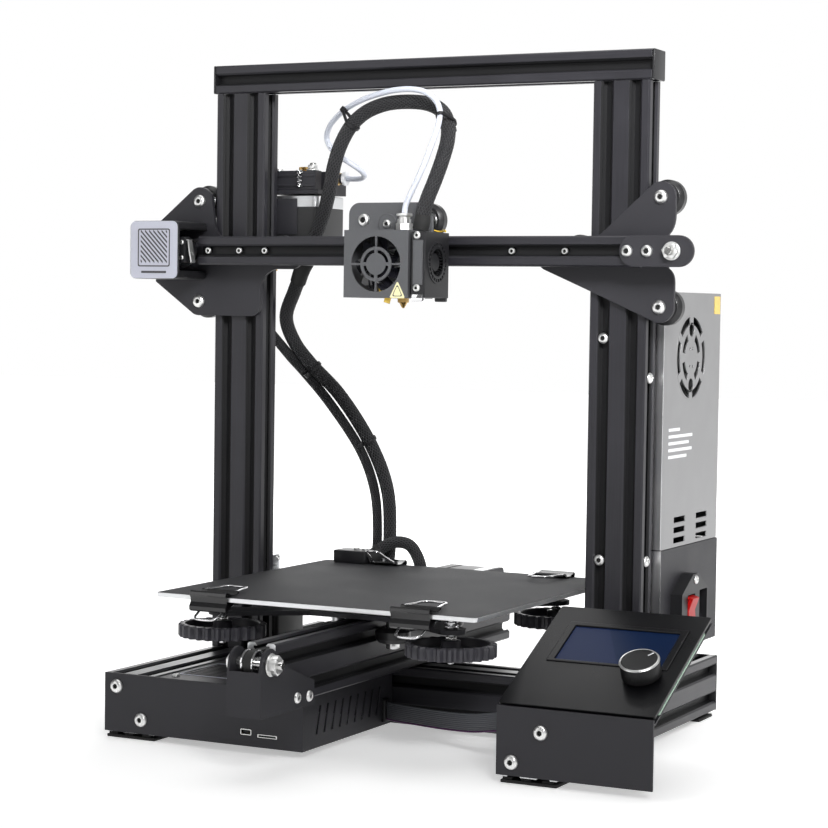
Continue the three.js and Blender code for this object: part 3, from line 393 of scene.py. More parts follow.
def turn_to(axis):
    """The rotation that takes +Z to an axis, given by name or as a vector."""
    names = {"x": (1, 0, 0), "y": (0, 1, 0), "z": (0, 0, 1), "-x": (-1, 0, 0), "-y": (0, -1, 0),
             "-z": (0, 0, -1)}
    direction = Vector(names.get(axis, axis) if isinstance(axis, str) else axis).normalized()
    return Vector((0, 0, 1)).rotation_difference(direction).to_matrix().to_4x4()


def placed(centre, axis="z", spin=0.0):
    return Matrix.Translation(Vector(centre)) @ turn_to(axis) @ Matrix.Rotation(spin, 4, "Z")


def ring(radius, height, sides=32):
    """A loop of points; radius may be a function of the angle."""
    loop = []
    for i in range(sides):
        angle = math.tau * i / sides
        reach = radius(angle) if callable(radius) else radius
        loop.append((reach * math.cos(angle), reach * math.sin(angle), height))
    return loop


def hexagon(across):
    """The radius of a hexagon at an angle, from its width across flats."""
    def reach(angle):
        folded = (angle + math.pi / 6) % (math.pi / 3) - math.pi / 6
        return across / 2 / math.cos(folded)
    return reach


def loft(loops, wrap=False):
    """Vertices and faces through loops of equal length, capped at its ends or wrapped round."""
    count = len(loops[0])
    points = [p for loop in loops for p in loop]
    faces = []
    spans = len(loops) if wrap else len(loops) - 1
    for i in range(spans):
        j = (i + 1) % len(loops)
        for k in range(count):
            n = (k + 1) % count
            faces.append((i * count + k, i * count + n, j * count + n, j * count + k))
    if not wrap:
        faces.append(tuple(reversed(range(count))))
        faces.append(tuple(range((len(loops) - 1) * count, len(loops) * count)))
    return points, faces


def turned(profile, sides=40, wrap=False):
    """A round piece from (radius, height) pairs; a radius may be a function."""
    return loft([ring(r, h, sides) for r, h in profile], wrap=wrap)


def collar(inner, outer, low, high):
    """The profile of a plain ring or spacer."""
    return [(inner, low), (outer, low), (outer, high), (inner, high)]


def smooth_path(points, spacing):
    """A centripetal curve through the points, resampled at even steps."""
    pts = [Vector(p) for p in points]
    pts = [pts[0] * 2 - pts[1]] + pts + [pts[-1] * 2 - pts[-2]]
    fine = []
    for p0, p1, p2, p3 in zip(pts, pts[1:], pts[2:], pts[3:]):
        k0 = 0.0
        k1 = k0 + max((p1 - p0).length, 1e-6) ** 0.5
        k2 = k1 + max((p2 - p1).length, 1e-6) ** 0.5
        k3 = k2 + max((p3 - p2).length, 1e-6) ** 0.5
        for step in range(24):
            t = k1 + (k2 - k1) * step / 24
            a1 = p0 * ((k1 - t) / (k1 - k0)) + p1 * ((t - k0) / (k1 - k0))
            a2 = p1 * ((k2 - t) / (k2 - k1)) + p2 * ((t - k1) / (k2 - k1))
            a3 = p2 * ((k3 - t) / (k3 - k2)) + p3 * ((t - k2) / (k3 - k2))
            b1 = a1 * ((k2 - t) / (k2 - k0)) + a2 * ((t - k0) / (k2 - k0))
            b2 = a2 * ((k3 - t) / (k3 - k1)) + a3 * ((t - k1) / (k3 - k1))
            fine.append(b1 * ((k2 - t) / (k2 - k1)) + b2 * ((t - k1) / (k2 - k1)))
    fine.append(pts[-2].copy())
    lengths = [0.0]
    for a, b in zip(fine, fine[1:]):
        lengths.append(lengths[-1] + (b - a).length)
    count = max(2, round(lengths[-1] / spacing))
    even, j = [], 0
    for i in range(count + 1):
        goal = lengths[-1] * i / count
        while j < len(lengths) - 2 and lengths[j + 1] < goal:
            j += 1
        share = (goal - lengths[j]) / max(lengths[j + 1] - lengths[j], 1e-9)
        even.append(fine[j].lerp(fine[j + 1], share))
    return even


def length_of(path):
    return sum((b - a).length for a, b in zip(path, path[1:]))


def frames_along(path):
    """A rotation-minimising pair of cross directions at each point of a path."""
    out, side = [], None
    for behind, ahead in zip(path[:1] + path, path[1:] + path[-1:]):
        tangent = (ahead - behind).normalized()
        if side is None:
            side = tangent.orthogonal().normalized()
        side = (side - tangent * side.dot(tangent)).normalized()
        out.append((side, tangent.cross(side)))
    return out


def swept(path, radius, sides=12, bulge=None):
    """A tube along a path. bulge(turn, distance) may add to its radius."""
    loops, travelled = [], 0.0
    for i, (point, (a, b)) in enumerate(zip(path, frames_along(path))):
        if i:
            travelled += (point - path[i - 1]).length
        loop = []
        for k in range(sides):
            angle = math.tau * k / sides
            reach = radius + (bulge(k / sides, travelled) if bulge else 0)
            loop.append(tuple(point + (a * math.cos(angle) + b * math.sin(angle)) * reach))
        loops.append(loop)
    return loft(loops)


def rounded(x0, x1, y0, y1, radius, steps=5):
    points = []
    for cx, cy, start in ((x1 - radius, y0 + radius, -90), (x1 - radius, y1 - radius, 0),
                          (x0 + radius, y1 - radius, 90), (x0 + radius, y0 + radius, 180)):
        for i in range(steps + 1):
            angle = math.radians(start + 90 * i / steps)
            points.append((cx + radius * math.cos(angle), cy + radius * math.sin(angle)))
    return points


def circle(x, y, radius, sides=32):
    return [(x + radius * math.cos(math.tau * i / sides), y + radius * math.sin(math.tau * i / sides))
            for i in range(sides)]


def plate(outlines, low, high, bevel=0.25):
    """A plate with holes, from 2-D outlines, as vertices and faces with rounded edges."""
    curve = bpy.data.curves.new("cutter", "CURVE")
    curve.dimensions = "2D"
    curve.fill_mode = "BOTH"
    for outline in outlines:
        spline = curve.splines.new("POLY")
        spline.points.add(len(outline) - 1)
        for point, (x, y) in zip(spline.points, outline):
            point.co = (x, y, 0, 1)
        spline.use_cyclic_u = True
    curve.extrude = (high - low) / 2 - bevel
    curve.bevel_depth = bevel
    curve.bevel_resolution = 1
    curve.offset = -bevel
    holder = bpy.data.objects.new("cutter", curve)
    bpy.context.scene.collection.objects.link(holder)
    bpy.context.view_layer.update()
    evaluated = holder.evaluated_get(bpy.context.evaluated_depsgraph_get())
    mesh = evaluated.to_mesh()
    points = [(v.co.x, v.co.y, v.co.z + (low + high) / 2) for v in mesh.vertices]
    faces = [tuple(p.vertices) for p in mesh.polygons]
    evaluated.to_mesh_clear()
    bpy.data.objects.remove(holder)
    bpy.data.curves.remove(curve)
    return points, faces


def brick(xs, ys, zs, bevel=0.4):
    """A block with rounded edges."""
    made = bmesh.new()
    bmesh.ops.create_cube(made, size=1.0)
    for vert in made.verts:
        for i, (low, high) in enumerate((xs, ys, zs)):
            vert.co[i] = low if vert.co[i] < 0 else high
    bmesh.ops.bevel(made, geom=list(made.edges), offset=bevel, segments=2, profile=0.5,
                    affect="EDGES")
    made.verts.index_update()
    points = [tuple(v.co) for v in made.verts]
    faces = [tuple(v.index for v in f.verts) for f in made.faces]
    made.free()
    return points, faces


class Piece:
    """A mesh built up from shapes in machine millimetres, each with its own material."""

    def __init__(self, name, material=None):
        self.name = name
        self.default = material
        self.materials = []
        self.bm = bmesh.new()

    def add(self, shape, material=None, where=None):
        material = material or self.default
        if material not in self.materials:
            self.materials.append(material)
        index = self.materials.index(material)
        points, faces = shape
        where = where or Matrix.Identity(4)
        verts = [self.bm.verts.new(at(*(where @ Vector(p)))) for p in points]
        for face in faces:
            made = self.bm.faces.new([verts[i] for i in face])
            made.material_index = index
            made.smooth = True

    def build(self, body, slot, stands_for=(), sharp=38):
        """Makes the object; one that spans two bodies is built with no body of its own."""
        bmesh.ops.recalc_face_normals(self.bm, faces=self.bm.faces)
        mesh = bpy.data.meshes.new(self.name)
        self.bm.to_mesh(mesh)
        self.bm.free()
        mesh.set_sharp_from_angle(angle=math.radians(sharp))
        for material in self.materials:
            mesh.materials.append(material)
        obj = bpy.data.objects.new(self.name, mesh)
        bpy.context.scene.collection.objects.link(obj)
        if body:
            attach(obj, body)
        if stands_for:
            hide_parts(*stands_for)
        return obj


# ---------------------------------------------------------------- hardware

def button_screw(piece, centre, axis, width=9.5, height=2.6, socket=3.2):
    """A domed screw head with a hexagon socket."""
    r = width / 2
    key = hexagon(socket)
    depth = min(1.0, height * 0.5)
    dome = [(r * 0.96, 0), (r, 0.25), (r * 0.97, height * 0.38), (r * 0.86, height * 0.68),
            (r * 0.66, height * 0.92), (r * 0.5, height), (lambda a: key(a) * 1.06, height),
            (key, height - 0.15), (key, 0)]
    where = placed(centre, axis, 0.3 * (centre[0] + centre[2]))
    piece.add(turned(dome, 36, wrap=True), BOLT, where)
    # the near-black plug inside the socket is painted shade
    piece.add(turned([(lambda a: key(a) * 1.02, 0), (lambda a: key(a) * 1.02, height - depth),
                      (0.3, height - depth - 0.15)], 36), RECESS_BLACK_PAINTED_SHADE, where)


def cap_screw(piece, centre, axis, width, height, socket):
    """A cylindrical screw head with a hexagon socket."""
    r = width / 2
    key = hexagon(socket)
    head = [(r, 0), (r, height - 0.4), (r - 0.35, height), (lambda a: key(a) * 1.05, height),
            (key, height - 0.15), (key, 0)]
    where = placed(centre, axis, 0.2 * centre[0])
    piece.add(turned(head, 36, wrap=True), BOLT, where)
    # the near-black plug inside the socket is painted shade
    piece.add(turned([(lambda a: key(a) * 1.02, 0), (lambda a: key(a) * 1.02, height - 1),
                      (0.3, height - 1.1)], 36), RECESS_BLACK_PAINTED_SHADE, where)


def hex_head(piece, centre, axis, across, height, bore=0.0, material=None):
    """A hexagon nut or bolt head with chamfered corners, on a washer."""
    flats = hexagon(across)
    inner = max(bore / 2, 0.3)
    body = [(across * 0.46, 0), (flats, 0.45), (flats, height - 0.5), (across * 0.47, height),
            (inner + 0.5, height), (inner, height - 0.5), (inner, height * 0.3)]
    where = placed(centre, axis, 0.4)
    piece.add(turned(body, 36), material or BOLT, where)
    washer = [(across * 0.62, -1.0), (across * 0.64, -0.85), (across * 0.64, -0.15),
              (across * 0.62, 0)]
    piece.add(turned(washer, 36), BOLT, where)


def grooved_wheel(name, node, centre, body, axis="y"):
    """A plastic roller on a ball bearing, with a steel axle."""
    piece = Piece(name, WHEEL)
    sides = 48
    half, flat, r = 5.1, 2.75, 11.95
    rim = r - (half - flat)
    where = placed(centre, axis)
    profile = [(8.05, -half), (rim - 0.3, -half), (rim, -half + 0.2), (r - 0.25, -flat),
               (r, -flat + 0.3), (r, flat - 0.3), (r - 0.25, flat), (rim, half - 0.2),
               (rim - 0.3, half), (8.05, half), (7.9, half - 0.3), (7.9, -half + 0.3)]
    piece.add(turned(profile, sides, wrap=True), WHEEL, where)
    bearing = [(7.88, -3.6), (7.0, -3.8), (6.7, -3.3), (4.3, -3.3), (4.0, -3.8), (2.6, -3.8),
               (2.6, 3.8), (4.0, 3.8), (4.3, 3.3), (6.7, 3.3), (7.0, 3.8), (7.88, 3.6)]
    piece.add(turned(bearing, sides, wrap=True), STEEL, where)
    axle = [(0.4, -4.8), (2.2, -4.8), (2.5, -4.5), (2.5, 4.5), (2.2, 4.8), (0.4, 4.8)]
    piece.add(turned(axle, 24), STEEL, where)
    piece.build(body, "wheel_black", [node] if node else [])


def stepper(name, centre, axis, span):
    """A stepper motor: a dark lamination stack between its end caps."""
    piece = Piece(name, MOTOR_STACK)
    low, high = span
    cap_low, cap_high = low + 9, high - 8.5
    half = 21.15
    where = placed(centre, axis)

    def loops(levels, corner):
        out = []
        for height, inset in levels:
            points = rounded(-half + inset, half - inset, -half + inset, half - inset,
                                     max(corner - inset, 0.5), 4)
            out.append([(x, y, height) for x, y in points])
        return out

    piece.add(loft(loops([(cap_low, 0.45), (cap_high, 0.45)], 4.2)), MOTOR_STACK, where)
    for a, b, finish in ((low, cap_low, PLASTIC), (cap_high, high, ALUMINIUM)):
        piece.add(loft(loops([(a, 0.5), (a + 0.5, 0), (b - 0.4, 0), (b, 0.4)], 5.2)), finish, where)
    return piece, where


# ---------------------------------------------------------------- more shapes

def front(y):
    """Drawing plane (x, z) at a y position; heights come out towards the front."""
    return Matrix.Translation((0, y, 0)) @ Matrix.Rotation(math.pi / 2, 4, "X")


def side(x):
    """Drawing plane (y, z) at an x position; heights come out to the right."""
    return Matrix.Translation((x, 0, 0)) @ Matrix(((0, 0, 1, 0), (1, 0, 0, 0), (0, 1, 0, 0), (0, 0, 0, 1)))


SWAP_XY = Matrix(((0, 1, 0, 0), (1, 0, 0, 0), (0, 0, 1, 0), (0, 0, 0, 1)))


def arc(cx, cy, radius, start, stop, steps=8):
    turns = [math.radians(start + (stop - start) * i / steps) for i in range(steps + 1)]
    return [(cx + radius * math.cos(t), cy + radius * math.sin(t)) for t in turns]


def arc_slot(cx, cy, inner, outer, start, stop):
    return arc(cx, cy, outer, start, stop) + arc(cx, cy, inner, stop, start)


def folded(points, thickness, low, high):
    """A bent sheet from x low to x high, along a centre line drawn in (y, z)."""
    line = [Vector(p) for p in points]
    upper, lower = [], []
    for i, p in enumerate(line):
        ahead = line[min(i + 1, len(line) - 1)] - line[max(i - 1, 0)]
        normal = Vector((-ahead.y, ahead.x)).normalized() * thickness / 2
        upper.append(p + normal)
        lower.append(p - normal)
    return loft([[(x, p.x, p.y) for p in upper + lower[::-1]] for x in (low, high)])


def coil(x, y, radius, low, high, turns, wire):
    """A compression spring with closed ends."""
    path = []
    count = round(turns * 20)
    for i in range(count + 1):
        share = i / count
        eased = min(max((share - 0.12) / 0.76, 0), 1)
        angle = math.tau * turns * share
        path.append(Vector((x + radius * math.cos(angle), y + radius * math.sin(angle),
                            low + wire + (high - low - 2 * wire) * eased)))
    return swept(path, wire, 8)


BELT_CORE, BELT_BACK, TOOTH_TIP, TOOTH_STEP = 6.9, 7.8, 6.35, 0.5


def belt_loop(name, node, start, end, middle, across, body, along):
    """A toothed belt round two pulleys, in the plane of Z and of the axis it runs along."""
    straight, turn = end - start, math.pi * BELT_BACK
    count = round(2 * (straight + turn) / TOOTH_STEP / 4) * 4
    loops = []
    for i in range(count):
        s = 2 * (straight + turn) * i / count
        half, s = divmod(s, straight + turn)
        if s < straight:
            u, lean = start + s, 0.0
        else:
            u, lean = end, (s - straight) / turn * math.pi
        if half:
            u, lean = start + end - u, lean + math.pi
        inner = TOOTH_TIP if i % 4 < 2 else BELT_CORE
        loop = []
        for reach, width in ((BELT_BACK, -2.8), (BELT_BACK, 2.8), (inner, 2.8), (inner, -2.8)):
            run, rise = u + reach * math.sin(lean), middle + reach * math.cos(lean)
            loop.append((run, across + width, rise) if along == "x" else (across + width, run, rise))
        loops.append(loop)
    piece = Piece(name, BELT)
    piece.add(loft(loops, wrap=True))
    piece.build(body, "black_rubber", [node] if node else [])


def pulley(piece, centre, axis):
    """A toothed belt pulley with two flanges."""
    teeth, flange = 20, 8.2

    def tooth(angle):
        return 5.9 + 0.35 * (1 if math.sin(teeth * angle) > 0 else -1)
    where = placed(centre, axis)
    piece.add(turned(collar(2.6, tooth, -3.4, 3.4), 80), ALUMINIUM, where)
    for level in (-4.4, 3.4):
        rim = [(2.6, level), (flange - 0.3, level), (flange, level + 0.3), (flange, level + 0.7),
               (flange - 0.5, level + 1), (2.6, level + 1)]
        piece.add(turned(rim, 48), CHROME, where)


def fan_rotor(name, node, centre, axis, hub, tip, depth, finish=GLOSS):
    """A fan rotor with a domed hub and curved, twisted blades, riding the body named as its node."""
    blades = 7
    piece = Piece(name, finish)
    where = placed(centre, axis)
    piece.add(turned([(0.5, 0), (hub - 0.4, 0), (hub, 0.4), (hub, depth - 1), (hub - 1, depth),
                      (hub * 0.55, depth), (hub * 0.5, depth - 0.3), (0.5, depth - 0.3)], 40),
              finish, where)
    chord = math.tau / blades * 0.72
    for b in range(blades):
        loops = []
        for i in range(7):
            share = i / 6
            reach = hub - 0.3 + (tip - hub + 0.3) * share
            lead = math.tau * b / blades + 0.35 * share
            loop = []
            for turn, height, thick in ((0, depth - 0.8, 0.35), (0.5, depth * 0.52, 0.5),
                                        (1, 0.6, 0.3), (1, 0.6, -0.3), (0.5, depth * 0.52, -0.5),
                                        (0, depth - 0.8, -0.35)):
                angle = lead + chord * turn * (1 - 0.15 * share)
                loop.append((reach * math.cos(angle), reach * math.sin(angle), height + thick))
            loops.append(loop)
        piece.add(loft(loops), finish, where)
    piece.build(node, "black_plastic", [node])


# ---------------------------------------------------------------- wheels and motors

def make_wheels():
    for hand, sign in (("left", -1), ("right", 1)):
        for place, x, rise in (("top", OUTER_WHEEL, WHEEL_RISE), ("low", OUTER_WHEEL, -WHEEL_RISE),
                               ("inner", INNER_WHEEL, 0)):
            node = f"gantry_wheel_{hand}_{place}"
            grooved_wheel(node + "_roller", node, (sign * x, WHEEL_Y, BEAM_Z + rise), node)
    for place, x, z in HEAD_WHEELS:
        node = f"head_wheel_{place}"
        grooved_wheel(node + "_roller", node, (x, BELT_Y, z), node)
    for i, (x, y) in enumerate(BED_ROLLERS):
        grooved_wheel(f"bed_roller_{i}", None, (x, y, 70.3), "bed", "z")


def axle_set(piece, x, z, head=True):
    """Bolt head on a gantry plate, spacer up to the wheel, and a nut behind it."""
    if head:
        button_screw(piece, (x, PLATE_FRONT, z), "-y")
    spacer = collar(2.6, 4.6, PLATE_FRONT + 3.1, WHEEL_Y - 5.4)
    piece.add(turned(spacer, 24), ALUMINIUM, placed((x, 0, z), "y"))
    hex_head(piece, (x, WHEEL_Y + 6.4, z), "y", 8, 4.2, 3)


def add_motor(name, centre, axis, span):
    """A stepper motor with screws in its face, a raised ring round the shaft and a socket."""
    piece, where = stepper(name, centre, axis, span)
    low, high = span
    piece.add(turned([(3, high), (11, high), (11, high + 0.9), (10.7, high + 1.2), (3, high + 1.2)], 48),
              ALUMINIUM, where)
    piece.add(turned([(0.4, high), (2.5, high), (2.5, high + 10), (2.2, high + 10.4),
                      (0.4, high + 10.4)], 24), STEEL, where)
    for sx in (-15.5, 15.5):
        for sy in (-15.5, 15.5):
            piece.add(turned([(2.7, low - 0.2), (2.7, low - 1.2), (2.2, low - 1.6), (1.2, low - 1.6),
                              (1.2, low - 0.9)], 24), STEEL, where @ Matrix.Translation((sx, sy, 0)))
    piece.add(brick((-8, 8), (20.8, 25), (low + 2, low + 8.5), 0.6), WHITE, where)
    return piece


def make_motors():
    add_motor("z_stepper", (*LEAD_SCREW, 0), "z", (40.3, 80)).build(
        "frame", "motor_black", ["z_motor"])
    add_motor("x_stepper", (X_MOTOR, 0, BEAM_Z), "-y", (-170.9, -132.9)).build(
        "gantry", "motor_black", ["x_motor"])
    extruder = add_motor("extruder_stepper", (*EXTRUDER, 0), "z", (329.2, 368))
    extruder.add(brick((-134.5, -112), (157.5, 158.3), (340, 366), 0.3), POWDER)
    extruder.build("gantry", "motor_black", ["extruder_motor"])
    piece = add_motor("y_stepper", (0, Y_MOTOR, Y_BELT_Z), "x", (-59.3, -19.3))
    outline = rounded(266, 318.1, 45, 90.1, 4)
    holes = [circle(Y_MOTOR, Y_BELT_Z, 11.3), circle(273, 50, 2.7), circle(273, 68, 2.7)]
    piece.add(plate([outline] + holes, -19.3, -16.3), POWDER, side(0))
    pulley(piece, (BED[0], Y_MOTOR, Y_BELT_Z), "x")
    piece.build("frame", "motor_black", ["y_motor"])


def thread(angle, height):
    """Radius of a four-start trapezoid thread with 2 mm between crests."""
    return 3.6 + 0.4 * max(-1, min(1, 1.8 * math.sin(4 * angle - math.pi * height)))


def make_lead_screw():
    piece = Piece("lead_screw_threaded", STEEL)
    x, y = LEAD_SCREW
    where = placed((x, y, 0))
    levels = [93 + 0.5 * i for i in range(round(2 * (421 - 93)) + 1)]
    loops = [ring(lambda a, h=h: thread(a, h), h, 24) for h in levels]
    piece.add(loft([ring(2.6, 92.6, 24)] + loops + [ring(2.6, 421.4, 24)]), STEEL, where)
    groove = lambda a, h: 9.4 if (a / math.tau + h * 0.35) % 1 > 0.12 else 8.6
    coupler = [(3, 81), (8.9, 81), (9.4, 81.5)]
    coupler += [(lambda a, h=h: groove(a, h), h) for h in [86 + 0.4 * i for i in range(38)]]
    coupler += [(9.4, 105), (8.9, 105.5), (4.2, 105.5)]
    piece.add(turned(coupler, 48), ALUMINIUM, where)
    for level in (84, 103):
        cap_screw(piece, (x + 8.2, y, level), "x", 4, 1.6, 2)
    piece.build("lead_screw", "bare_steel", ["lead_screw"])
    nut = Piece("lead_nut", BRASS)
    flange = [(4.3, 314), (5.1, 314), (5.1, 322), (10.8, 322), (11, 322.3), (11, 325.2), (10.8, 325.5),
              (4.3, 325.5)]
    nut.add(turned(flange, 48, wrap=True), BRASS, where)
    for k in range(4):
        angle = math.tau * k / 4 + 0.6
        cap_screw(nut, (x + 8 * math.cos(angle), y + 8 * math.sin(angle), 322), "-z", 4, 2, 2)
    nut.build("gantry", "brass")


# ---------------------------------------------------------------- frame fittings

def make_frame_fittings():
    """Screws, end caps and ribbed feet of the fixed frame."""
    screws = Piece("frame_screws", STEEL)
    for x, z in ((-155.7, 31.3), (-136.2, 10.1)):
        button_screw(screws, (x, -2.3, z), "-y")
    for x, z in ((155.3, 30), (136, 10)):
        button_screw(screws, (x, -3.6, z), "-y")
    for z in (270, 122):
        button_screw(screws, (136, 135, z), "-y", 7.4, 2, 3)
    for z in (244, 122):
        button_screw(screws, (165.4, 144, z), "x", 7.4, 2.2, 3)
    for y, z in ((203, 105), (203, 65)):
        button_screw(screws, (180, y, z), "x", 6, 1.6, 2.4)
    screws.build("frame", "bare_steel")
    caps = Piece("extrusion_caps", PLASTIC)
    for sign in (-1, 1):
        low, high = sorted((sign * 167.1, sign * 169))
        caps.add(brick((low, high), (134, 154), (440.3, 460.3), 0.7))
        x = sign * 146
        caps.add(brick((x - 20, x + 20), (291.2, 293), (0, 40), 0.7))
    caps.build("frame", "black_plastic")
    for end, y in (("front", 14), ("rear", 273)):
        for hand, x in (("left", -146), ("right", 146)):
            foot = Piece(f"foot_{end}_{hand}_pad", RUBBER)
            foot.add(brick((x - 19, x + 19), (y - 14, y + 14), (-4, -1.9), 0.5))
            for dx in (-14.5, -2, 12):
                foot.add(brick((x + dx - 3.4, x + dx + 3.4), (y - 13, y + 13), (-2.2, -0.15), 0.3))
            foot.build("frame", "black_rubber", [f"foot_{end}_{hand}"])


def make_supply():
    """Fan grille with its rotor behind, an edge sticker, and bars in place of the printed text."""
    grille = Piece("supply_grille", GALVANISED)
    cy, cz = SUPPLY_FAN
    holes = []
    for inner, outer, spans in (
            (22.6, 28.1, ((-25, 25), (38, 83), (97, 142), (155, 205), (218, 263), (277, 322))),
            (12.6, 17.8, ((12, 62), (118, 168), (192, 242), (298, 348)))):
        holes += [arc_slot(cy, cz, inner, outer, start, stop) for start, stop in spans]
    holes += [circle(cy, cz + d * 19.2, 4.9, 24) for d in (-1, 1)]
    holes += [circle(cy + dy, cz + dz, 1.1, 12) for dy in (-2.6, 2.6) for dz in (-6, 6)]
    grille.add(plate([circle(cy, cz, 29.3, 64)] + holes, -1.1, 0.05, 0.1), GALVANISED, side(SUPPLY_SIDE))
    grille.build("frame", "case_grey")
    # the rotor behind the grille uses the same matt near-black as the painted shade in the sockets
    fan_rotor("supply_fan_rotor", "power_supply_fan", (157, cy, cz), "x", 12, 27.4, 9, RECESS_BLACK_PAINTED_SHADE)
    label = Piece("supply_label", YELLOW)
    label.add(plate([rounded(256, 268, 287, 299.5, 0.8)], 0.02, 0.2, 0.05), YELLOW,
              side(SUPPLY_SIDE))
    for k, length in enumerate((22, 47, 40, 46, 36)):
        bar = rounded(168, 168 + length, 207.5 - 4.6 * k, 209.6 - 4.6 * k, 0.5)
        label.add(plate([bar], 0.01, 0.08, 0.02), WHITE, side(SUPPLY_SIDE))
    label.build("frame", "case_grey")


def make_board_and_sockets():
    """The control board in its box, with the sockets at the front and the vent's rim on the lid."""
    board = Piece("control_board", BOARD)
    board.add(brick((-112, -22), (8, 108), (4.2, 5.8), 0.2))
    draw = random.Random(7)
    for i in range(16):
        x, y = draw.uniform(-106, -30), draw.uniform(14, 100)
        w, d, h = draw.uniform(3, 10), draw.uniform(3, 10), draw.uniform(2, 12)
        finish = (PLASTIC, ALUMINIUM, WHITE, YELLOW)[i % 4]
        board.add(brick((x, x + w), (y, y + d), (5.8, 5.8 + h), 0.3), finish)
    board.build("frame", "black_plastic")
    sockets = Piece("board_sockets", STEEL)
    usb = rounded(-58.9, -50.5, 7.9, 11.9, 0.7)
    hole = rounded(-58.2, -51.2, 8.5, 11.3, 0.5)
    sockets.add(plate([usb, hole], -7, 0, 0.1), STEEL, front(-2.2))
    sockets.add(brick((-56.8, -52.6), (-1.6, 3), (9.4, 10.4), 0.2), PLASTIC)
    card = rounded(-46.1, -31.3, 7.1, 9.3, 0.3)
    gap = rounded(-45.2, -32.2, 7.6, 8.8, 0.2)
    sockets.add(plate([card, gap], -8, -0.2, 0.08), STEEL, front(-2.2))
    sockets.build("frame", "bare_steel")
    rim = Piece("vent_rim", LABEL)
    outer = rounded(-121.5, -81, 20, 72, 2.5)
    inner = rounded(-120.3, -82.2, 21.2, 70.8, 1.6)
    rim.add(plate([outer, inner], 39.25, 39.7, 0.1))
    rim.build("frame", "case_grey")
    lid = Piece("lid_screws", STEEL)
    for x, y in ((-118, 12), (-20, 12), (-20, 116), (-118, 116)):
        button_screw(lid, (x, y, 39.3), "z", 5.5, 1.5, 2)
    lid.build("frame", "bare_steel")


def make_y_belt():
    belt_loop("y_belt", None, Y_IDLER, Y_MOTOR, Y_BELT_Z, BED[0], "frame", "y")
    idler = Piece("y_idler_pulley", CHROME)
    where = placed((BED[0], Y_IDLER, Y_BELT_Z), "x")
    for level in (-4.4, 3.1):
        rim = [(2.6, level), (8.2, level), (8.6, level + 0.3), (8.6, level + 0.9), (8.1, level + 1.3),
               (2.6, level + 1.3)]
        idler.add(turned(rim, 48), CHROME, where)
    idler.add(turned(collar(2.6, 6.1, -3.1, 3.1), 48), ALUMINIUM, where)
    for low, high in ((-9.9, -4.5), (4.5, 9.9)):
        idler.add(turned(collar(2.6, 4.2, low, high), 32), STEEL, where)
    idler.add(turned([(6.9, 12.2), (7.2, 12.4), (7.2, 13.2), (6.9, 13.4), (2.8, 13.4), (2.8, 12.2)], 48,
                     wrap=True), STEEL, where)
    hex_head(idler, (7.5, Y_IDLER, Y_BELT_Z), "x", 11, 5, 5)
    idler.add(turned([(0.3, 12), (2.5, 12), (2.5, 20.6), (2.1, 21.2), (0.3, 21.2)], 24), STEEL, where)
    hex_head(idler, (-19.2, Y_IDLER, Y_BELT_Z), "-x", 9, 3.6, 2)
    idler.add(brick((6.4, 7.2), (-77.2, -74.6), (73, 76.4), 0.3), CHROME)
    for y, z in ((-42.6, 43.9), (-27.3, 42.9)):
        button_screw(idler, (6.2, y, z), "x", 7.2, 2, 3)
        button_screw(idler, (-18.2, y, z), "-x", 7.2, 2, 3)
    idler.build("frame", "bare_steel")


TILT = math.atan(0.487)
PANEL = Matrix.Translation((0, -3, 45.6)) @ Matrix.Rotation(TILT, 4, "X")
WINDOW = (143.6, 214.8, 51.8, 90.6)
KNOB = (206.5, 40.5)


def make_screen():
    """The display module: fascia, bezel, glass, board, and the nut round the encoder."""
    piece = Piece("screen_module", GLOSS)
    low_x, high_x, low_v, high_v = WINDOW
    face = rounded(125.5, 228.3, 1.5, 112, 1.5)
    cutout = rounded(low_x - 5, high_x + 5, low_v - 2.5, high_v + 4, 0.8)
    shaft_hole = circle(*KNOB, 4.2)
    piece.add(plate([face, cutout, shaft_hole], -1.7, 0, 0.25), PANEL_BLACK, PANEL)
    bezel = rounded(low_x - 4.8, high_x + 4.8, low_v - 2.3, high_v + 3.8, 0.7)
    opening = rounded(low_x, high_x, low_v, high_v, 0.4)
    piece.add(plate([bezel, opening], -1.5, 0.7, 0.45), PANEL_BLACK, PANEL)
    piece.add(plate([rounded(low_x - 2, high_x + 2, low_v - 1.5, high_v + 2, 0.4)],
                          -1.6, -0.5, 0.05), GLASS, PANEL)
    board = rounded(127, 228.2, 9, 98, 1)
    piece.add(plate([board, shaft_hole], -4, -2.7, 0.1), BOARD_EDGE, PANEL)
    # Painted shade: a black sheet fills the gap between the fascia and the board, standing in for the
    # shade there.
    gap_shade_sheet = rounded(128, 226.5, 4, 110, 1)
    piece.add(plate([gap_shade_sheet, shaft_hole], -2.75, -1.65, 0.1), PLASTIC, PANEL)
    piece.add(turned([(hexagon(10), 0), (hexagon(10), 1.4), (4.6, 1.8), (3.5, 1.8)], 36), STEEL,
              PANEL @ Matrix.Translation((*KNOB, 0)))
    piece.build("frame", "screen_glossy", ["screen_panel"])


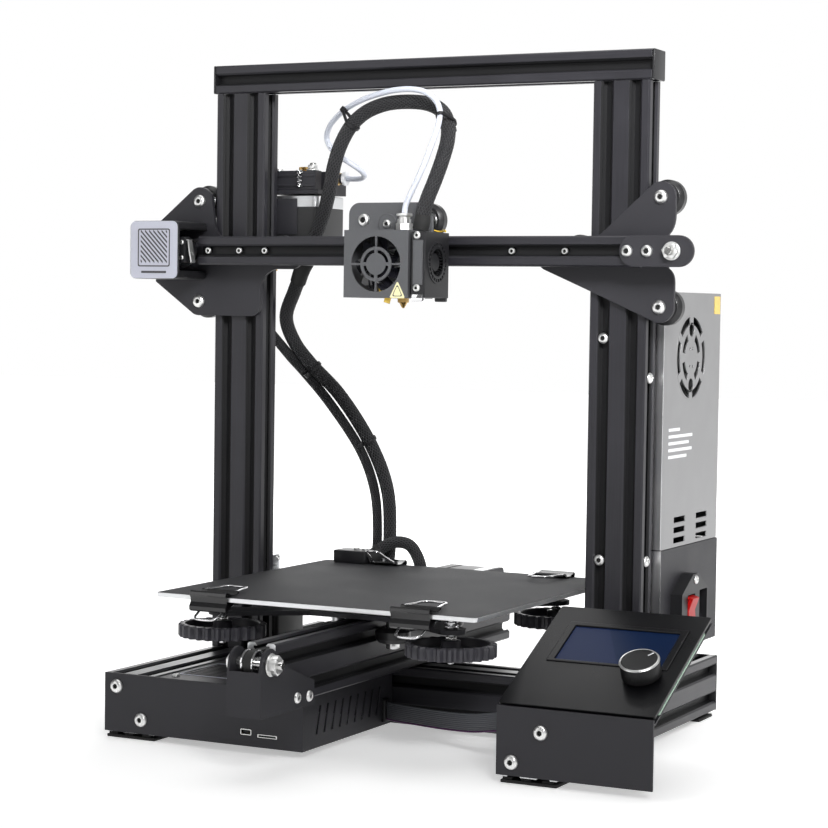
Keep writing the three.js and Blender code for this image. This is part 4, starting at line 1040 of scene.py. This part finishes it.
def make_knob():
    """The encoder's splined spindle, and the black knob with its bright ring and mark."""
    axle = PANEL @ Matrix.Translation((*KNOB, 0))
    shaft = Piece("encoder_spindle", STEEL)

    def spline(angle):
        return 3.0 + 0.15 * math.cos(18 * angle)

    def flute(angle):
        return 12.45 + 0.08 * math.cos(60 * angle)

    shaft.add(turned([(3.2, -2), (3.2, 3.4), (2.8, 3.8), (spline, 4.2), (spline, 10), (2.6, 10.5),
                      (0.4, 10.5)], 72), STEEL, axle)
    shaft.build("encoder_shaft", "bare_steel", ["encoder_shaft"])
    knob = Piece("encoder_knob_turned", PANEL_BLACK)
    skirt = [(3.7, 10.9), (3.7, 3.6), (6.8, 3.6), (6.8, 1.9), (11.8, 1.7), (12.4, 2.1)]
    crown = [(12.2, 12.2), (11.5, 13.0), (11.1, 13.15), (8, 13.1), (0.6, 13.1)]
    knob.add(turned(skirt + [(flute, 2.7), (flute, 11.9)] + crown, 180), KNOB_BLACK, axle)
    knob.add(turned([(12.1, 12.0), (12.7, 12.1), (12.75, 12.4), (12.2, 13.05), (11.7, 13.25),
                     (11.4, 13.1)], 96, wrap=True), BOLT, axle)
    mark = axle @ Matrix.Rotation(math.radians(52), 4, "Z")
    knob.add(brick((6.6, 10.9), (-0.5, 0.5), (12.9, 13.3), 0.1), WHITE, mark)
    knob.build("encoder_knob", "black_plastic", ["encoder_knob"])


RIBBON_ROUTE = [(-11.6, 112, 11), (-1, 106, 11.2), (25, 93, 12.6), (55, 77, 15), (79, 64, 18),
                (102, 52, 23), (125.6, 40, 27)]


def make_ribbon():
    """A flat cable standing on edge, ridged by its conductors, purple along its lower edge."""
    path = smooth_path(RIBBON_ROUTE, 2.5)
    piece = Piece("ribbon_strip", RIBBON)
    wires, pitch = 10, 1.26
    for low_wire, high_wire, finish in ((0, 1, RIBBON_EDGE), (1, wires, RIBBON)):
        loops = []
        for i, p in enumerate(path):
            ahead = (path[min(i + 1, len(path) - 1)] - path[max(i - 1, 0)])
            across = ahead.cross(Vector((0, 0, 1))).normalized()
            outline = []
            for k in range(low_wire, high_wire):
                for share, half in ((0.02, 0.18), (0.3, 0.5), (0.7, 0.5), (0.98, 0.18)):
                    outline.append(((k + share - wires / 2) * pitch, half))
            loops.append([tuple(p + across * h + Vector((0, 0, lift))) for lift, h in outline]
                         + [tuple(p - across * h + Vector((0, 0, lift))) for lift, h in reversed(outline)])
        piece.add(loft(loops), finish)
    ribbon = piece.build("frame", "ribbon_grey", ["ribbon_cable"], sharp=60)
    ends = Piece("ribbon_guides", PLASTIC)
    for p, (x0, x1) in ((RIBBON_ROUTE[0], (-12.4, -9.2)), (RIBBON_ROUTE[-1], (122.6, 126.2))):
        ends.add(brick((x0, x1), (p[1] - 4, p[1] + 4), (p[2] - 8, p[2] + 8), 0.8))
    ends.build("frame", "black_plastic")


# ---------------------------------------------------------------- bed

LEVEL_RADIUS, LOBES = 29.6, 26


def make_levelling():
    def lobes(angle):
        wave = max(-1, min(1, 2.2 * math.sin(LOBES * angle)))
        return LEVEL_RADIUS - 1.25 + 1.25 * wave
    for (sx, sy), name in zip(CORNER_SIGNS, ("front_left", "front_right", "rear_left", "rear_right")):
        x, y = BED[0] + 85 * sx, BED[1] + 85 * sy
        body = f"levelling_wheel_{name}"
        wheel = Piece(body + "_moulded", THUMB)
        chamfer = lambda a: lobes(a) - 0.8
        profile = [(2.4, 66.8), (8, 66.8), (8.6, 67.3), (23.5, 67.3), (24.2, 66.9), (chamfer, 66.9),
                   (lobes, 67.7), (lobes, 74.8), (chamfer, 75.6), (25.3, 75.6), (24.6, 75), (24.2, 70.4),
                   (7.6, 70.1), (6.6, 70.8), (6.3, 77), (5.6, 77.5), (2.4, 77.5)]
        wheel.add(turned(profile, LOBES * 8, wrap=True), THUMB, placed((x, y, 0)))
        hex_head(wheel, (x, y, 77.6), "z", 6.5, 2.2, 4, STEEL)
        wheel.build(body, "thumbwheel_plastic", [body])
        spring = Piece(f"spring_{name}", CHROME)
        spring.add(coil(x, y, 4.1, 84.6, 94.3, 4.5, 0.55))
        spring.build("bed", "bare_steel")


def clip(name, x, width, rear, handles):
    """A binder clip: sprung black sheet over the plate's edge, with two wire handles."""
    flip = -1 if rear else 1
    edge = 229.5 if rear else -5.5

    def to(y, z):
        return (edge + flip * y, z)

    piece = Piece(name, CLIP_BLACK)
    top = [(13.2, 98.9), (13.9, 99.6), (13.2, 100.4), (12.2, 99.9), (12, 98.6), (6, 98.4), (0.5, 100.1),
           (-1.5, 100.6), (-2.8, 99.9), (-3.2, 98.4), (-1.5, 96.2), (-1.3, 93.4), (-3.2, 90.6),
           (-3, 88.4), (-1.5, 87.5),
           (0.5, 88.4), (6, 92.2), (12, 93.4), (12.2, 92.2), (13.2, 91.6), (13.9, 92.3), (13.2, 93)]
    piece.add(folded([to(y, z) for y, z in top], 0.55, x, x + width))
    for (lift, angle), hinge in zip(handles, ((13, 99.7), (13, 92.3))):
        reach = 22
        steer = math.radians(angle)
        path = []
        for along, out in ((0, 2.5), (2, 2.5), (0.55 * reach, 4.6), (reach - 2, 5.6), (reach, 7.6)):
            path.append((along, out))
        mirror = [(a, width - o) for a, o in reversed(path)]
        points = []
        for along, out in path + mirror:
            y = hinge[0] + along * math.cos(steer)
            z = hinge[1] + lift + along * math.sin(steer)
            points.append((x + out, *to(y, z)))
        piece.add(swept(smooth_path(points, 0.8), 0.8, 10), CHROME)
    piece.build("bed", "black_plastic")


def make_bed():
    clip("clip_front_left", -95, 27.7, False, ((0.2, 1), (0, 205)))
    clip("clip_front_right", 53, 27.7, False, ((0.2, 1), (0, 205)))
    clip("clip_rear_right", 52.4, 25.8, True, ((0.2, 1), (0, 350)))
    clip("clip_rear_left", -79, 22, True, ((0, 27), (0, 350)))
    fittings = Piece("bed_fittings", PLASTIC)
    fittings.add(brick((-110, -83.6), (215, 233.5), (97.5, 107), 0.9))
    fittings.add(brick((-108, -86), (229.8, 233), (88, 98), 0.6))
    fittings.add(brick((-8.8, -3.2), (98, 126), (76.9, 81.4), 0.4), ALUMINIUM)
    for x, y in BED_ROLLERS:
        fittings.add(turned(collar(2.6, 4.6, 75.5, 81.4), 32), ALUMINIUM, placed((x, y, 0)))
        button_screw(fittings, (x, y, 84.5), "z", 9, 2.4, 3)
        hex_head(fittings, (x, y, 64.9), "-z", 8, 4, 3)
    for x in (-95, -88):
        cap_screw(fittings, (x, 224, 107), "z", 4.5, 1.4, 2)
    fittings.build("bed", "black_plastic")


# ---------------------------------------------------------------- gantry

def make_gantry_bolts():
    axles = Piece("gantry_axles", STEEL)
    for sign in (-1, 1):
        for rise in (WHEEL_RISE, -WHEEL_RISE):
            axle_set(axles, sign * OUTER_WHEEL, BEAM_Z + rise)
        axle_set(axles, sign * INNER_WHEEL, BEAM_Z, False)
    for x in (-158.5, -132.8, -112, 78.5, 116.7):
        cap_screw(axles, (x, 113.4, BEAM_Z), "-y", 4.4, 2, 2.2)
    for x in (162.9, 176.7):
        button_screw(axles, (x, 106, BEAM_Z), "-y", 8, 2.5, 3.4)
    tensioner_bolt = (193.5, 105, BEAM_Z)
    hex_head(axles, tensioner_bolt, "-y", 9.4, 4.2, 5)
    axles.add(turned([(0.4, -5), (2.5, -5), (2.5, 6.6), (2.1, 7.1), (0.4, 7.1)], 24), STEEL,
              placed(tensioner_bolt, "-y"))
    for x in (-150, 108):
        for rise in (5.5, -5.5):
            cap_screw(axles, (x, PLATE_FRONT + 3.1, BEAM_Z + rise), "y", 5, 2.4, 2.5)
    axles.build("gantry", "bare_steel")


def make_x_drive():
    drive = Piece("x_pulleys", ALUMINIUM)
    for x in (X_MOTOR, X_IDLER):
        pulley(drive, (x, BELT_Y, BEAM_Z), "y")
    drive.build("gantry", "bare_aluminium")
    belt_loop("x_belt_toothed", "x_belt", X_MOTOR, X_IDLER, BEAM_Z, BELT_Y, "gantry", "x")


def make_motor_label():
    """A plain hatched square in a frame, over a short rule."""
    label = Piece("motor_label", LABEL)
    label.add(plate([rounded(-210.2, -170.9, 306.7, 347.3, 4)], 0.02, 0.5, 0.12), LABEL,
              front(MOTOR_FACE))
    low_x, high_x, low_z, high_z = -204, -177, 315, 342
    frame_line = [rounded(low_x, high_x, low_z, high_z, 1.5),
                  rounded(low_x + 0.9, high_x - 0.9, low_z + 0.9, high_z - 0.9, 1)]
    label.add(plate(frame_line, 0.5, 0.62, 0.02), LABEL_INK, front(MOTOR_FACE))
    clear, wide = 2.4, 1.6
    for k in range(13):
        total = low_x + low_z + 6 + 3.5 * k  # x plus z along the stripe
        start = max(low_x + clear, total - high_z + clear)
        stop = min(high_x - clear, total - low_z - clear)
        stripe = [(start, total - start), (stop, total - stop), (stop, total - stop + wide),
                  (start, total - start + wide)]
        if stop - start > 1:
            label.add(plate([stripe], 0.5, 0.62, 0.02), LABEL_INK, front(MOTOR_FACE))
    rule = [rounded(-201, -180, 310.4, 312, 0.4)]
    label.add(plate(rule, 0.5, 0.62, 0.02), LABEL_INK, front(MOTOR_FACE))
    label.build("gantry", "case_grey")


def make_x_switch():
    """The limit switch beside the X motor, with white terminals and a bent lever."""
    switch = Piece("x_microswitch", PLASTIC)
    switch.add(brick((-174.6, -168.2), (97, 104), (317.8, 336.4), 0.5))
    for z in (321.5, 332.5):
        button_screw(switch, (-171.2, 97, z), "-y", 3.6, 1, 1.4)
    for z in (319.5, 327, 334.5):
        switch.add(brick((-177.6, -174.3), (98, 101.4), (z - 1.9, z + 1.9), 0.3), WHITE)
    lever = [(-168, 334), (-166.6, 334.4), (-165.4, 326), (-163.8, 319), (-164.2, 318.2)]
    switch.add(folded(lever, 0.9, 98, 103), BOLT, SWAP_XY)
    switch.build("gantry", "black_plastic")


def make_extruder():
    """The feeder's spring, bolts, drive gear and tube outlet."""
    piece = Piece("extruder_fittings", STEEL)
    piece.add(coil(0, 0, 2.1, 0, 12, 5, 0.45), CHROME, placed((-110, 156.8, 374.2)))
    piece.add(turned([(0.4, 380), (2.4, 380), (2.4, 391), (2, 391.6), (0.4, 391.6)], 24), STEEL,
              placed((-102.5, 163.5, 0)))
    hex_head(piece, (-102.5, 163.5, 387.2), "z", 7, 3, 3)
    button_screw(piece, (-131, 164, 386), "z", 7, 2.2, 2.6)
    button_screw(piece, (-101, 194, 386), "z", 6, 2, 2.4)

    def gear(angle):
        return 5.4 + (0.4 if math.sin(36 * angle) > 0 else 0)

    piece.add(turned([(2.6, 386.1), (gear, 386.3), (gear, 389.6), (2.6, 389.8)], 144), BRASS,
              placed((*EXTRUDER, 0)))
    for low in (374.5, 381.5):
        piece.add(brick((-136.5, -98.5), (158.2, 158.9), (low, low + 1.5), 0.3), POWDER)
    outlet = placed((-95.2, 179.5, 381), "x")
    piece.add(turned([(hexagon(9), 0.2), (hexagon(9), 4.6), (4.1, 5), (4.1, 7.4), (2.3, 7.4)], 36),
              BRASS, outlet)
    piece.add(turned([(2.2, 7.2), (3.9, 7.4), (3.9, 9.4), (5, 9.6), (5.2, 10), (5.2, 11.4), (4.9, 11.8),
                      (2.2, 11.8)], 40), WHITE, outlet)
    piece.build("gantry", "brass")


# ---------------------------------------------------------------- print head

def make_fan_guard():
    face = Piece("fan_guard", SATIN_GREY)
    cx, cz = FAN
    holes = []
    for k in range(4):
        holes.append(arc_slot(cx, cz, 11.6, 18.4, 90 * k + 2.6, 90 * k + 87.4))
        holes.append(arc_slot(cx, cz, 7.3, 9.5, 90 * k + 8, 90 * k + 82))
    face.add(plate([circle(cx, cz, 19.2, 72)] + holes, -1.1, 0.05, 0.15), SATIN_GREY, front(SHROUD_FRONT))
    face.build("carriage", "shroud_grey")
    sticker = Piece("shroud_sticker", STICKER)
    for finish, inset, top in ((STICKER, 0, 0.1), (LABEL_INK, 1.1, 0.14), (STICKER, 1.6, 0.18)):
        corners = ((21.6 - 1.7 * inset, 295.4 + inset, -90), (17, 304.4 - 2 * inset, 30),
                   (12.4 + 1.7 * inset, 295.4 + inset, 150))
        outline = [p for x, z, start in corners for p in arc(x, z, 0.8, start, start + 120, 5)]
        sticker.add(plate([outline], 0.02, top, 0.02), finish, front(SHROUD_FRONT))
    sticker.build("carriage", "shroud_grey")
    fan_rotor("hotend_fan_rotor", "hotend_fan", (cx, 77.2, cz), "-y", 9, 17.8, 8)


def make_head_screws():
    screws = Piece("head_screws", STEEL)
    button_screw(screws, (-27.5, 102, 347.75), "-y", 8.6, 2.6, 4)
    screws.add(turned([(7, 0), (7, 0.8), (6.6, 1.2), (2, 1.2)], 40), SATIN_GREY,
               placed((-9.2, 102, 344.9), "-y"))
    button_screw(screws, (-9.2, 100.8, 344.9), "-y", 6, 2, 2.6)
    for _, x, z in HEAD_WHEELS:
        where = placed((x, 0, z), "y")
        screws.add(turned(collar(2.6, 5, 105.1, 114), 32), ALUMINIUM, where)
        hex_head(screws, (x, 125.6, z), "y", 8, 3.4, 3)
    for z in (336, 301.4):
        button_screw(screws, (31.2, SHROUD_FRONT, z), "-y", 5.2, 1.5, 2)
    screws.build("carriage", "bare_steel")


def make_blower():
    """The part-cooling blower's slotted guard, rotor and outlet."""
    blower = Piece("blower_fittings", PLASTIC)
    blower.add(brick((28.4, 35.6), (65.3, 66.2), (303.5, 333), 0.35), SATIN_GREY)
    blower.add(brick((27.2, 36), (64.6, 70), (292.4, 297.6), 1.2), CHROME)
    blower.add(brick((29, 36.5), (97, 102), (292.5, 296.5), 0.8), PLASTIC)
    slots = [arc_slot(*BLOWER, 11, 12.9, 15 * k + 2.5, 15 * k + 12.5) for k in range(24)]
    guard = [circle(*BLOWER, 14.2, 64), circle(*BLOWER, 9.2, 48)] + slots
    blower.add(plate(guard, -0.6, 0.5, 0.15), PLASTIC, side(37.2))
    where = placed((29, *BLOWER), "x")
    blower.add(turned([(0.5, 0), (11.8, 0), (11.8, 0.6), (6.4, 0.8), (6.2, 6.4), (5.6, 7), (0.5, 7)], 48),
               PLASTIC, where)
    for k in range(28):
        spin = where @ Matrix.Rotation(math.tau * k / 28, 4, "Z")
        blower.add(brick((8.4, 11.6), (-0.25, 0.25), (0.5, 7), 0.08), PLASTIC, spin)
    blower.build("carriage", "black_plastic")


def make_hotend():
    """Nozzle, finned heat sink, heater block in yellow film, and the tube's fitting."""
    hotend = Piece("hotend_turned", BRASS)
    where = placed((*NOZZLE, 0))
    hotend.add(turned([(0.25, 288), (0.7, 288), (1.1, 288.6), (2.7, 291.4), (hexagon(6.6), 291.9),
                       (hexagon(6.6), 294.6), (2.6, 295), (0.3, 295)], 48), BRASS, where)
    fins = [(2.2, 305.8), (2.2, 309)]
    for k in range(7):
        low = 309 + 2.95 * k
        fins += [(10.3, low), (10.5, low + 0.2), (10.5, low + 1.1), (10.3, low + 1.3), (5, low + 1.5),
                 (5, low + 2.8)]
    fins += [(5, 330), (3.9, 331), (3.9, 341), (0.4, 341)]
    hotend.add(turned(fins, 48), ALUMINIUM, where)
    hotend.add(brick((-5.4, 14.6), (83.5, 95.5), (295.2, 305.6), 0.6), ALUMINIUM)
    hotend.add(brick((-5.8, 8), (83.1, 95.9), (295.6, 304), 0.4), YELLOW)
    hotend.add(brick((-1.7, 3), (84.6, 85.1), (291.2, 296), 0.1), YELLOW,
               Matrix.Translation((0.4, 85, 296)) @ Matrix.Rotation(0.25, 4, "Y")
               @ Matrix.Translation((-0.4, -85, -296)))
    hotend.add(turned([(hexagon(10), 340), (hexagon(10), 344.6), (4.6, 345), (4.6, 347.6), (2.2, 347.6)],
                      36), BOLT, where)
    hotend.add(turned([(2.2, 347.4), (3.9, 347.6), (3.9, 349.2), (5.2, 349.4), (5.5, 349.9), (5.5, 351),
                       (5.1, 351.4), (2.2, 351.4)], 40), BOLT, where)
    hotend.build("carriage", "brass", ["hotend"])
    lead = Piece("blower_lead", YELLOW)
    route = smooth_path([(26.4, 100.8, 340.4), (29, 101, 339.8), (32, 100.6, 339.6), (36, 98.6, 340.2),
                         (36.9, 96, 339.4)], 0.8)
    lead.add(swept(route, 0.6, 10))
    lead.build("carriage", "braided_sleeve")


# ---------------------------------------------------------------- cable fittings

def boot(name, route, radii, body):
    """A tapered rubber boot where a cord enters something."""
    path = smooth_path(route, 0.8)
    total = length_of(path)
    stops = len(radii) - 1

    def grow(_, distance):
        place = min(distance / total, 0.9999) * stops
        i = int(place)
        return radii[i] + (radii[i + 1] - radii[i]) * (place - i)
    piece = Piece(name, RUBBER)
    piece.add(swept(path, 0, 28, bulge=grow))
    piece.build(body, "black_rubber")


def band(piece, path, point, radius, beside=None, beside_radius=0.0, lock=1):
    """A cable tie around a cord, and around the cord beside it, with its square lock."""
    index = nearest(path, point)
    here = path[index]
    along = (path[index + 1] - path[index - 1]).normalized()
    if beside:
        reach = beside[nearest(beside, here)] - here
        reach -= along * reach.dot(along)
        gap = reach.length
    else:
        reach, gap = along.orthogonal(), 0.0
    across = reach.normalized()
    where = Matrix((across, along.cross(across), along)).transposed().to_4x4()
    where.translation = here

    def outline(extra):
        if not beside:
            return circle(0, 0, radius + extra, 40)
        lean = math.degrees(math.acos((radius - beside_radius) / gap))
        return (arc(0, 0, radius + extra, lean, 360 - lean, 24)
                + arc(gap, 0, beside_radius + extra, -lean, lean, 12))
    half = 1.1
    piece.add(plate([outline(0.95), outline(0.05)], -half, half, 0.15), PLASTIC, where)
    edge = gap + beside_radius if beside and lock > 0 else radius
    low, high = sorted((lock * (edge + 0.6), lock * (edge + 4.4)))
    piece.add(brick((low, high), (-2.1, 2.1), (-1.9, 1.9), 0.5), PLASTIC, where)


def nearest(path, point):
    return min(range(1, len(path) - 1), key=lambda i: (path[i] - Vector(point)).length)


def make_cable_fittings():
    boot("head_cable_boot", [(23, 87, 340.5), (24, 87, 345), (24.7, 87.3, 350)],
         (5.5, 5.5, 5.1), "carriage")
    boot("harness_boot", [(-95, 146.2, 322), (-101, 147, 314.6), (-106.6, 151, 306)],
         (5.15, 5.9, 5.7), "gantry")
    arm = Piece("harness_clamp", PLASTIC)
    arm.add(brick((-101, -94), (132.8, 142.5), (318.5, 323), 0.6))
    arm.build("gantry", "black_plastic")
    for name, x, radius in (("gantry", -90, 5), ("bed", -70, 4.5), ("motor", -106, 3.6)):
        boot(f"{name}_cable_boot", [(x, 164.2, 20), (x, 167, 20), (x, 173, 20)],
             (radius + 4, radius + 2.2, radius + 0.1), "frame")
    boot("bed_cable_exit", [(-84.5, 223.6, 101.6), (-81.5, 225, 103), (-76.5, 227.8, 108.6)],
         (6, 5.6, 4.6), "bed")
    head, tube = smooth_path(HEAD_CABLE, 1), smooth_path(FEED_TUBE, 1)
    ties = Piece("head_cable_ties", PLASTIC)
    band(ties, head, (-55, 144.5, 421), 5.1, tube, 2.1, 1)
    band(ties, head, (31.6, 109, 410.5), 5.1, tube, 2.1, -1)
    made = ties.build(None, "black_plastic")
    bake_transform(made)
    lower = smooth_path(GANTRY_CABLE, 1)
    ties = Piece("gantry_cable_ties", PLASTIC)
    for point in ((-112, 185, 243), (-84, 220, 190)):
        band(ties, lower, point, 5.1)
    made = ties.build(None, "black_plastic")
    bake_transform(made)


# ---------------------------------------------------------------- cords

FEED_TUBE = [(-83.8, 179.5, 381), (-76, 179.3, 380.6), (-69.3, 176.8, 381), (-64.9, 171.5, 383),
             (-65.5, 164.8, 386.6), (-71.2, 160, 391.2), (-79, 158, 396.4),
             (-85.4, 157.4, 402.4), (-87.2, 155.6, 408.9), (-82.1, 150.4, 416.1),
             (-72.3, 143.4, 422.3), (-59.4, 135, 427.4), (-43.1, 126, 431.7),
             (-26.9, 118.5, 434.6), (-10.8, 112.5, 436.3), (4.8, 108, 436),
             (16.9, 104.5, 433.1), (26.2, 101, 427), (31.2, 97, 419.2),
             (31.9, 93, 409.7), (29, 89.9, 397.4), (24, 88.2, 383), (17.6, 88.4, 370.2),
             (12.8, 89, 361.6), (10.3, 89.4, 356.4), (9.6, 89.5, 351.8)]
HEAD_CABLE = [(24, 87, 345), (25.4, 87.6, 354.8), (27.6, 89, 362.9), (30.1, 91.8, 371.8),
              (33.5, 97, 387.4), (34.8, 102, 400.9), (32.3, 107, 412.3),
              (25.4, 111.5, 421.1), (12.8, 116, 426.7), (-8.9, 120.5, 429),
              (-26.4, 123.5, 427.5), (-41.2, 125.3, 422.3), (-51.8, 126, 413.8),
              (-59.8, 126.4, 401.3), (-65.7, 128.2, 387.6), (-72.1, 133.6, 371.1),
              (-81.3, 141.2, 352.7), (-89.6, 145.6, 339), (-95.6, 146.2, 327.6),
              (-101, 147, 314.6)]
GANTRY_CABLE = [(-106, 150.6, 307), (-112, 155, 299), (-123, 163, 280), (-122, 174, 262),
                (-114, 183, 247), (-98, 200, 223.4), (-82, 222, 184.5), (-76, 236, 152),
                (-77, 243, 118), (-79, 244.5, 98), (-81, 243, 78), (-84, 235, 56), (-88, 215, 36),
                (-90, 190, 22), (-90, 176, 20), (-90, 164.8, 20)]
BED_CABLE = [(-81.5, 225, 103), (-76, 228, 109), (-67, 233, 113.5), (-58, 238, 111.5),
             (-52, 241.5, 101), (-50, 243, 88), (-52, 240, 70), (-58, 225, 50), (-64, 200, 34),
             (-68, 186, 24), (-70, 175, 20), (-70, 164.8, 20)]
MOTOR_WIRES = [(-182, 166, 305.6), (-180, 165, 298), (-170, 161, 288), (-155, 159.5, 281),
               (-140, 159.5, 274), (-131, 166, 262), (-125, 176, 250), (-120, 184, 241),
               (-105, 198, 217), (-88.7, 218.6, 179.8), (-84.5, 232, 150), (-85.5, 239, 118),
               (-87.5, 240.5, 98), (-89.5, 239, 78), (-93, 230, 55), (-97, 212, 35),
               (-102, 190, 23), (-106, 177, 20), (-106, 164.8, 20)]
BRAID_STRANDS = 15
BRAID_PITCH = 270.0  # crossings per metre of sleeve


def woven(name, node, points, radius):
    """A sleeve with crossing strands standing out of its surface, unwrapped along its length."""
    sides = 60
    path = smooth_path(points, 0.8)

    def strand(turn, distance):
        phase = BRAID_PITCH * distance * MM * math.tau
        around = BRAID_STRANDS * turn * math.tau
        return 0.16 * max(math.sin(around + phase), math.sin(around - phase)) - 0.15

    piece = Piece(name, BRAID)
    piece.add(swept(path, radius, sides, bulge=strand))
    obj = piece.build(None, "braided_sleeve", [node] if node else [])
    uv = obj.data.uv_layers.new(name="UVMap")
    step = length_of(path) / (len(path) - 1) * MM
    for polygon in obj.data.polygons:
        corners = [obj.data.loops[i].vertex_index for i in polygon.loop_indices]
        wraps = {v % sides for v in corners} >= {0, sides - 1}
        for index, vertex in zip(polygon.loop_indices, corners):
            turn = vertex % sides
            if wraps and turn == 0 and len(corners) == 4:
                turn = sides
            uv.data[index].uv = (turn / sides, vertex // sides * step)
    return obj, path


def make_cords():
    path = smooth_path(FEED_TUBE, 2)
    piece = Piece("feed_tube_bent", ptfe())
    piece.add(swept(path, 2.0, 20))
    tube = piece.build(None, "white_tube", ["feed_tube"])
    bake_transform(tube)

    for name, node, points, radius, bodies in (
            ("head_sleeve", "head_cable", HEAD_CABLE, 5, ("carriage", "gantry")),
            ("gantry_sleeve", "gantry_cable", GANTRY_CABLE, 5, ("gantry", "frame")),
            ("motor_sleeve", None, MOTOR_WIRES, 3.6, ("gantry", "frame")),
            ("bed_sleeve", "bed_cable", BED_CABLE, 4.5, ("bed", "frame"))):
        obj, path = woven(name, node, points, radius)
        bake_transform(obj)


# ---------------------------------------------------------------- CAD nodes

def finish_node(name, material, bevel, others=()):
    """Gives a CAD node its material and softened edges. others picks faces for more materials."""
    obj = NODES[name]
    obj.data.materials.clear()
    obj.data.materials.append(material)
    for polygon in obj.data.polygons:
        polygon.use_smooth = True
        polygon.material_index = 0
    for other, picks in others:
        obj.data.materials.append(other)
        for polygon in obj.data.polygons:
            if picks(polygon.normal, (polygon.center - ORIGIN) / MM):
                polygon.material_index = len(obj.data.materials) - 1
    weld = obj.modifiers.new("weld", "WELD")
    weld.merge_threshold = 2e-6
    flat = obj.modifiers.new("flat", "DECIMATE")
    flat.decimate_type = "DISSOLVE"
    flat.angle_limit = math.radians(0.4)
    flat.delimit = {"MATERIAL"}
    edge = obj.modifiers.new("edge", "BEVEL")
    edge.width = bevel * MM
    edge.segments = 2
    edge.limit_method = "ANGLE"
    edge.angle_limit = math.radians(32)
    edge.use_clamp_overlap = True
    normals = obj.modifiers.new("normals", "WEIGHTED_NORMAL")
    normals.weight = 80
    normals.keep_sharp = True


def ends(axis):
    index = "xyz".index(axis)
    return lambda normal, centre: abs(normal[index]) > 0.9


def recessed(name, axis, margin=0.7):
    """Picks the faces that lie inside an extrusion's outline: its slots and bores, which take the painted
    shade.
    """
    low, high = ((Vector(v) - ORIGIN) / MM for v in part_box(name))
    across = [i for i in range(3) if i != "xyz".index(axis)]

    def inside(normal, centre):
        return all(low[i] + margin < centre[i] < high[i] - margin for i in across)
    return inside


def dress_frame():
    """Materials and softened edges for the CAD nodes that stay visible."""
    for name, axis in (("rail_left", "y"), ("rail_right", "y"), ("y_rail", "y"),
                       ("cross_beam", "x"), ("top_bar", "x"), ("x_beam", "x"),
                       ("upright_left", "z"), ("upright_right", "z")):
        # slot and bore faces take the painted shade, sawn ends bare aluminium
        finish_node(name, drawn(axis), 0.35, [(SLOT_PAINTED_SHADE, recessed(name, axis)), (ALUMINIUM, ends(axis))])
    for name in ("electronics_box", "electronics_cover", "y_idler_bracket", "screen_bracket",
                 "gantry_plate_left", "gantry_plate_right", "x_tensioner", "extruder_body",
                 "extruder_lever", "bed_carriage"):
        finish_node(name, POWDER, 0.35)
    # Painted highlight: the front faces of the supply's case and cover take the brighter metal, for the
    # strip of light along the front.
    highlight_front_face = (CASE_FRONT_PAINTED_HIGHLIGHT, lambda n, c: n.y < -0.9 and c.y < 158)
    finish_node("power_supply_case", GALVANISED, 0.9, [highlight_front_face])
    finish_node("power_supply_cover", POWDER, 0.5, [
        highlight_front_face, (PLASTIC, lambda n, c: c.x > 171.6),
        (STEEL, lambda n, c: 162.5 < c.x < 171.3 and abs(c.y - 219) < 5 and abs(c.z - 85) < 8.5)])
    finish_node("rocker_switch", RED, 0.5)
    finish_node("x_switch_housing", PLASTIC, 0.8)
    finish_node("carriage_plate", SATIN_GREY, 0.35)
    finish_node("fan_shroud", SATIN_GREY, 0.35)
    finish_node("part_blower", PLASTIC, 0.4)
    for place in ("front_left", "front_right", "rear_left", "rear_right"):
        finish_node(f"foot_{place}", RUBBER, 0.6)
    finish_node("bed_plate", PLATE_EDGE, 0.3, [(BED_COAT, lambda n, c: n.z > 0.9)])


BRAID = braid()
GLASS = screen_glass()
make_camera()
make_studio()
make_cords()
dress_frame()
make_wheels()
make_motors()
make_lead_screw()
make_frame_fittings()
make_supply()
make_board_and_sockets()
make_y_belt()
make_screen()
make_knob()
make_ribbon()
make_levelling()
make_bed()
make_gantry_bolts()
make_x_drive()
make_motor_label()
make_x_switch()
make_extruder()
make_fan_guard()
make_head_screws()
make_blower()
make_hotend()
make_cable_fittings()
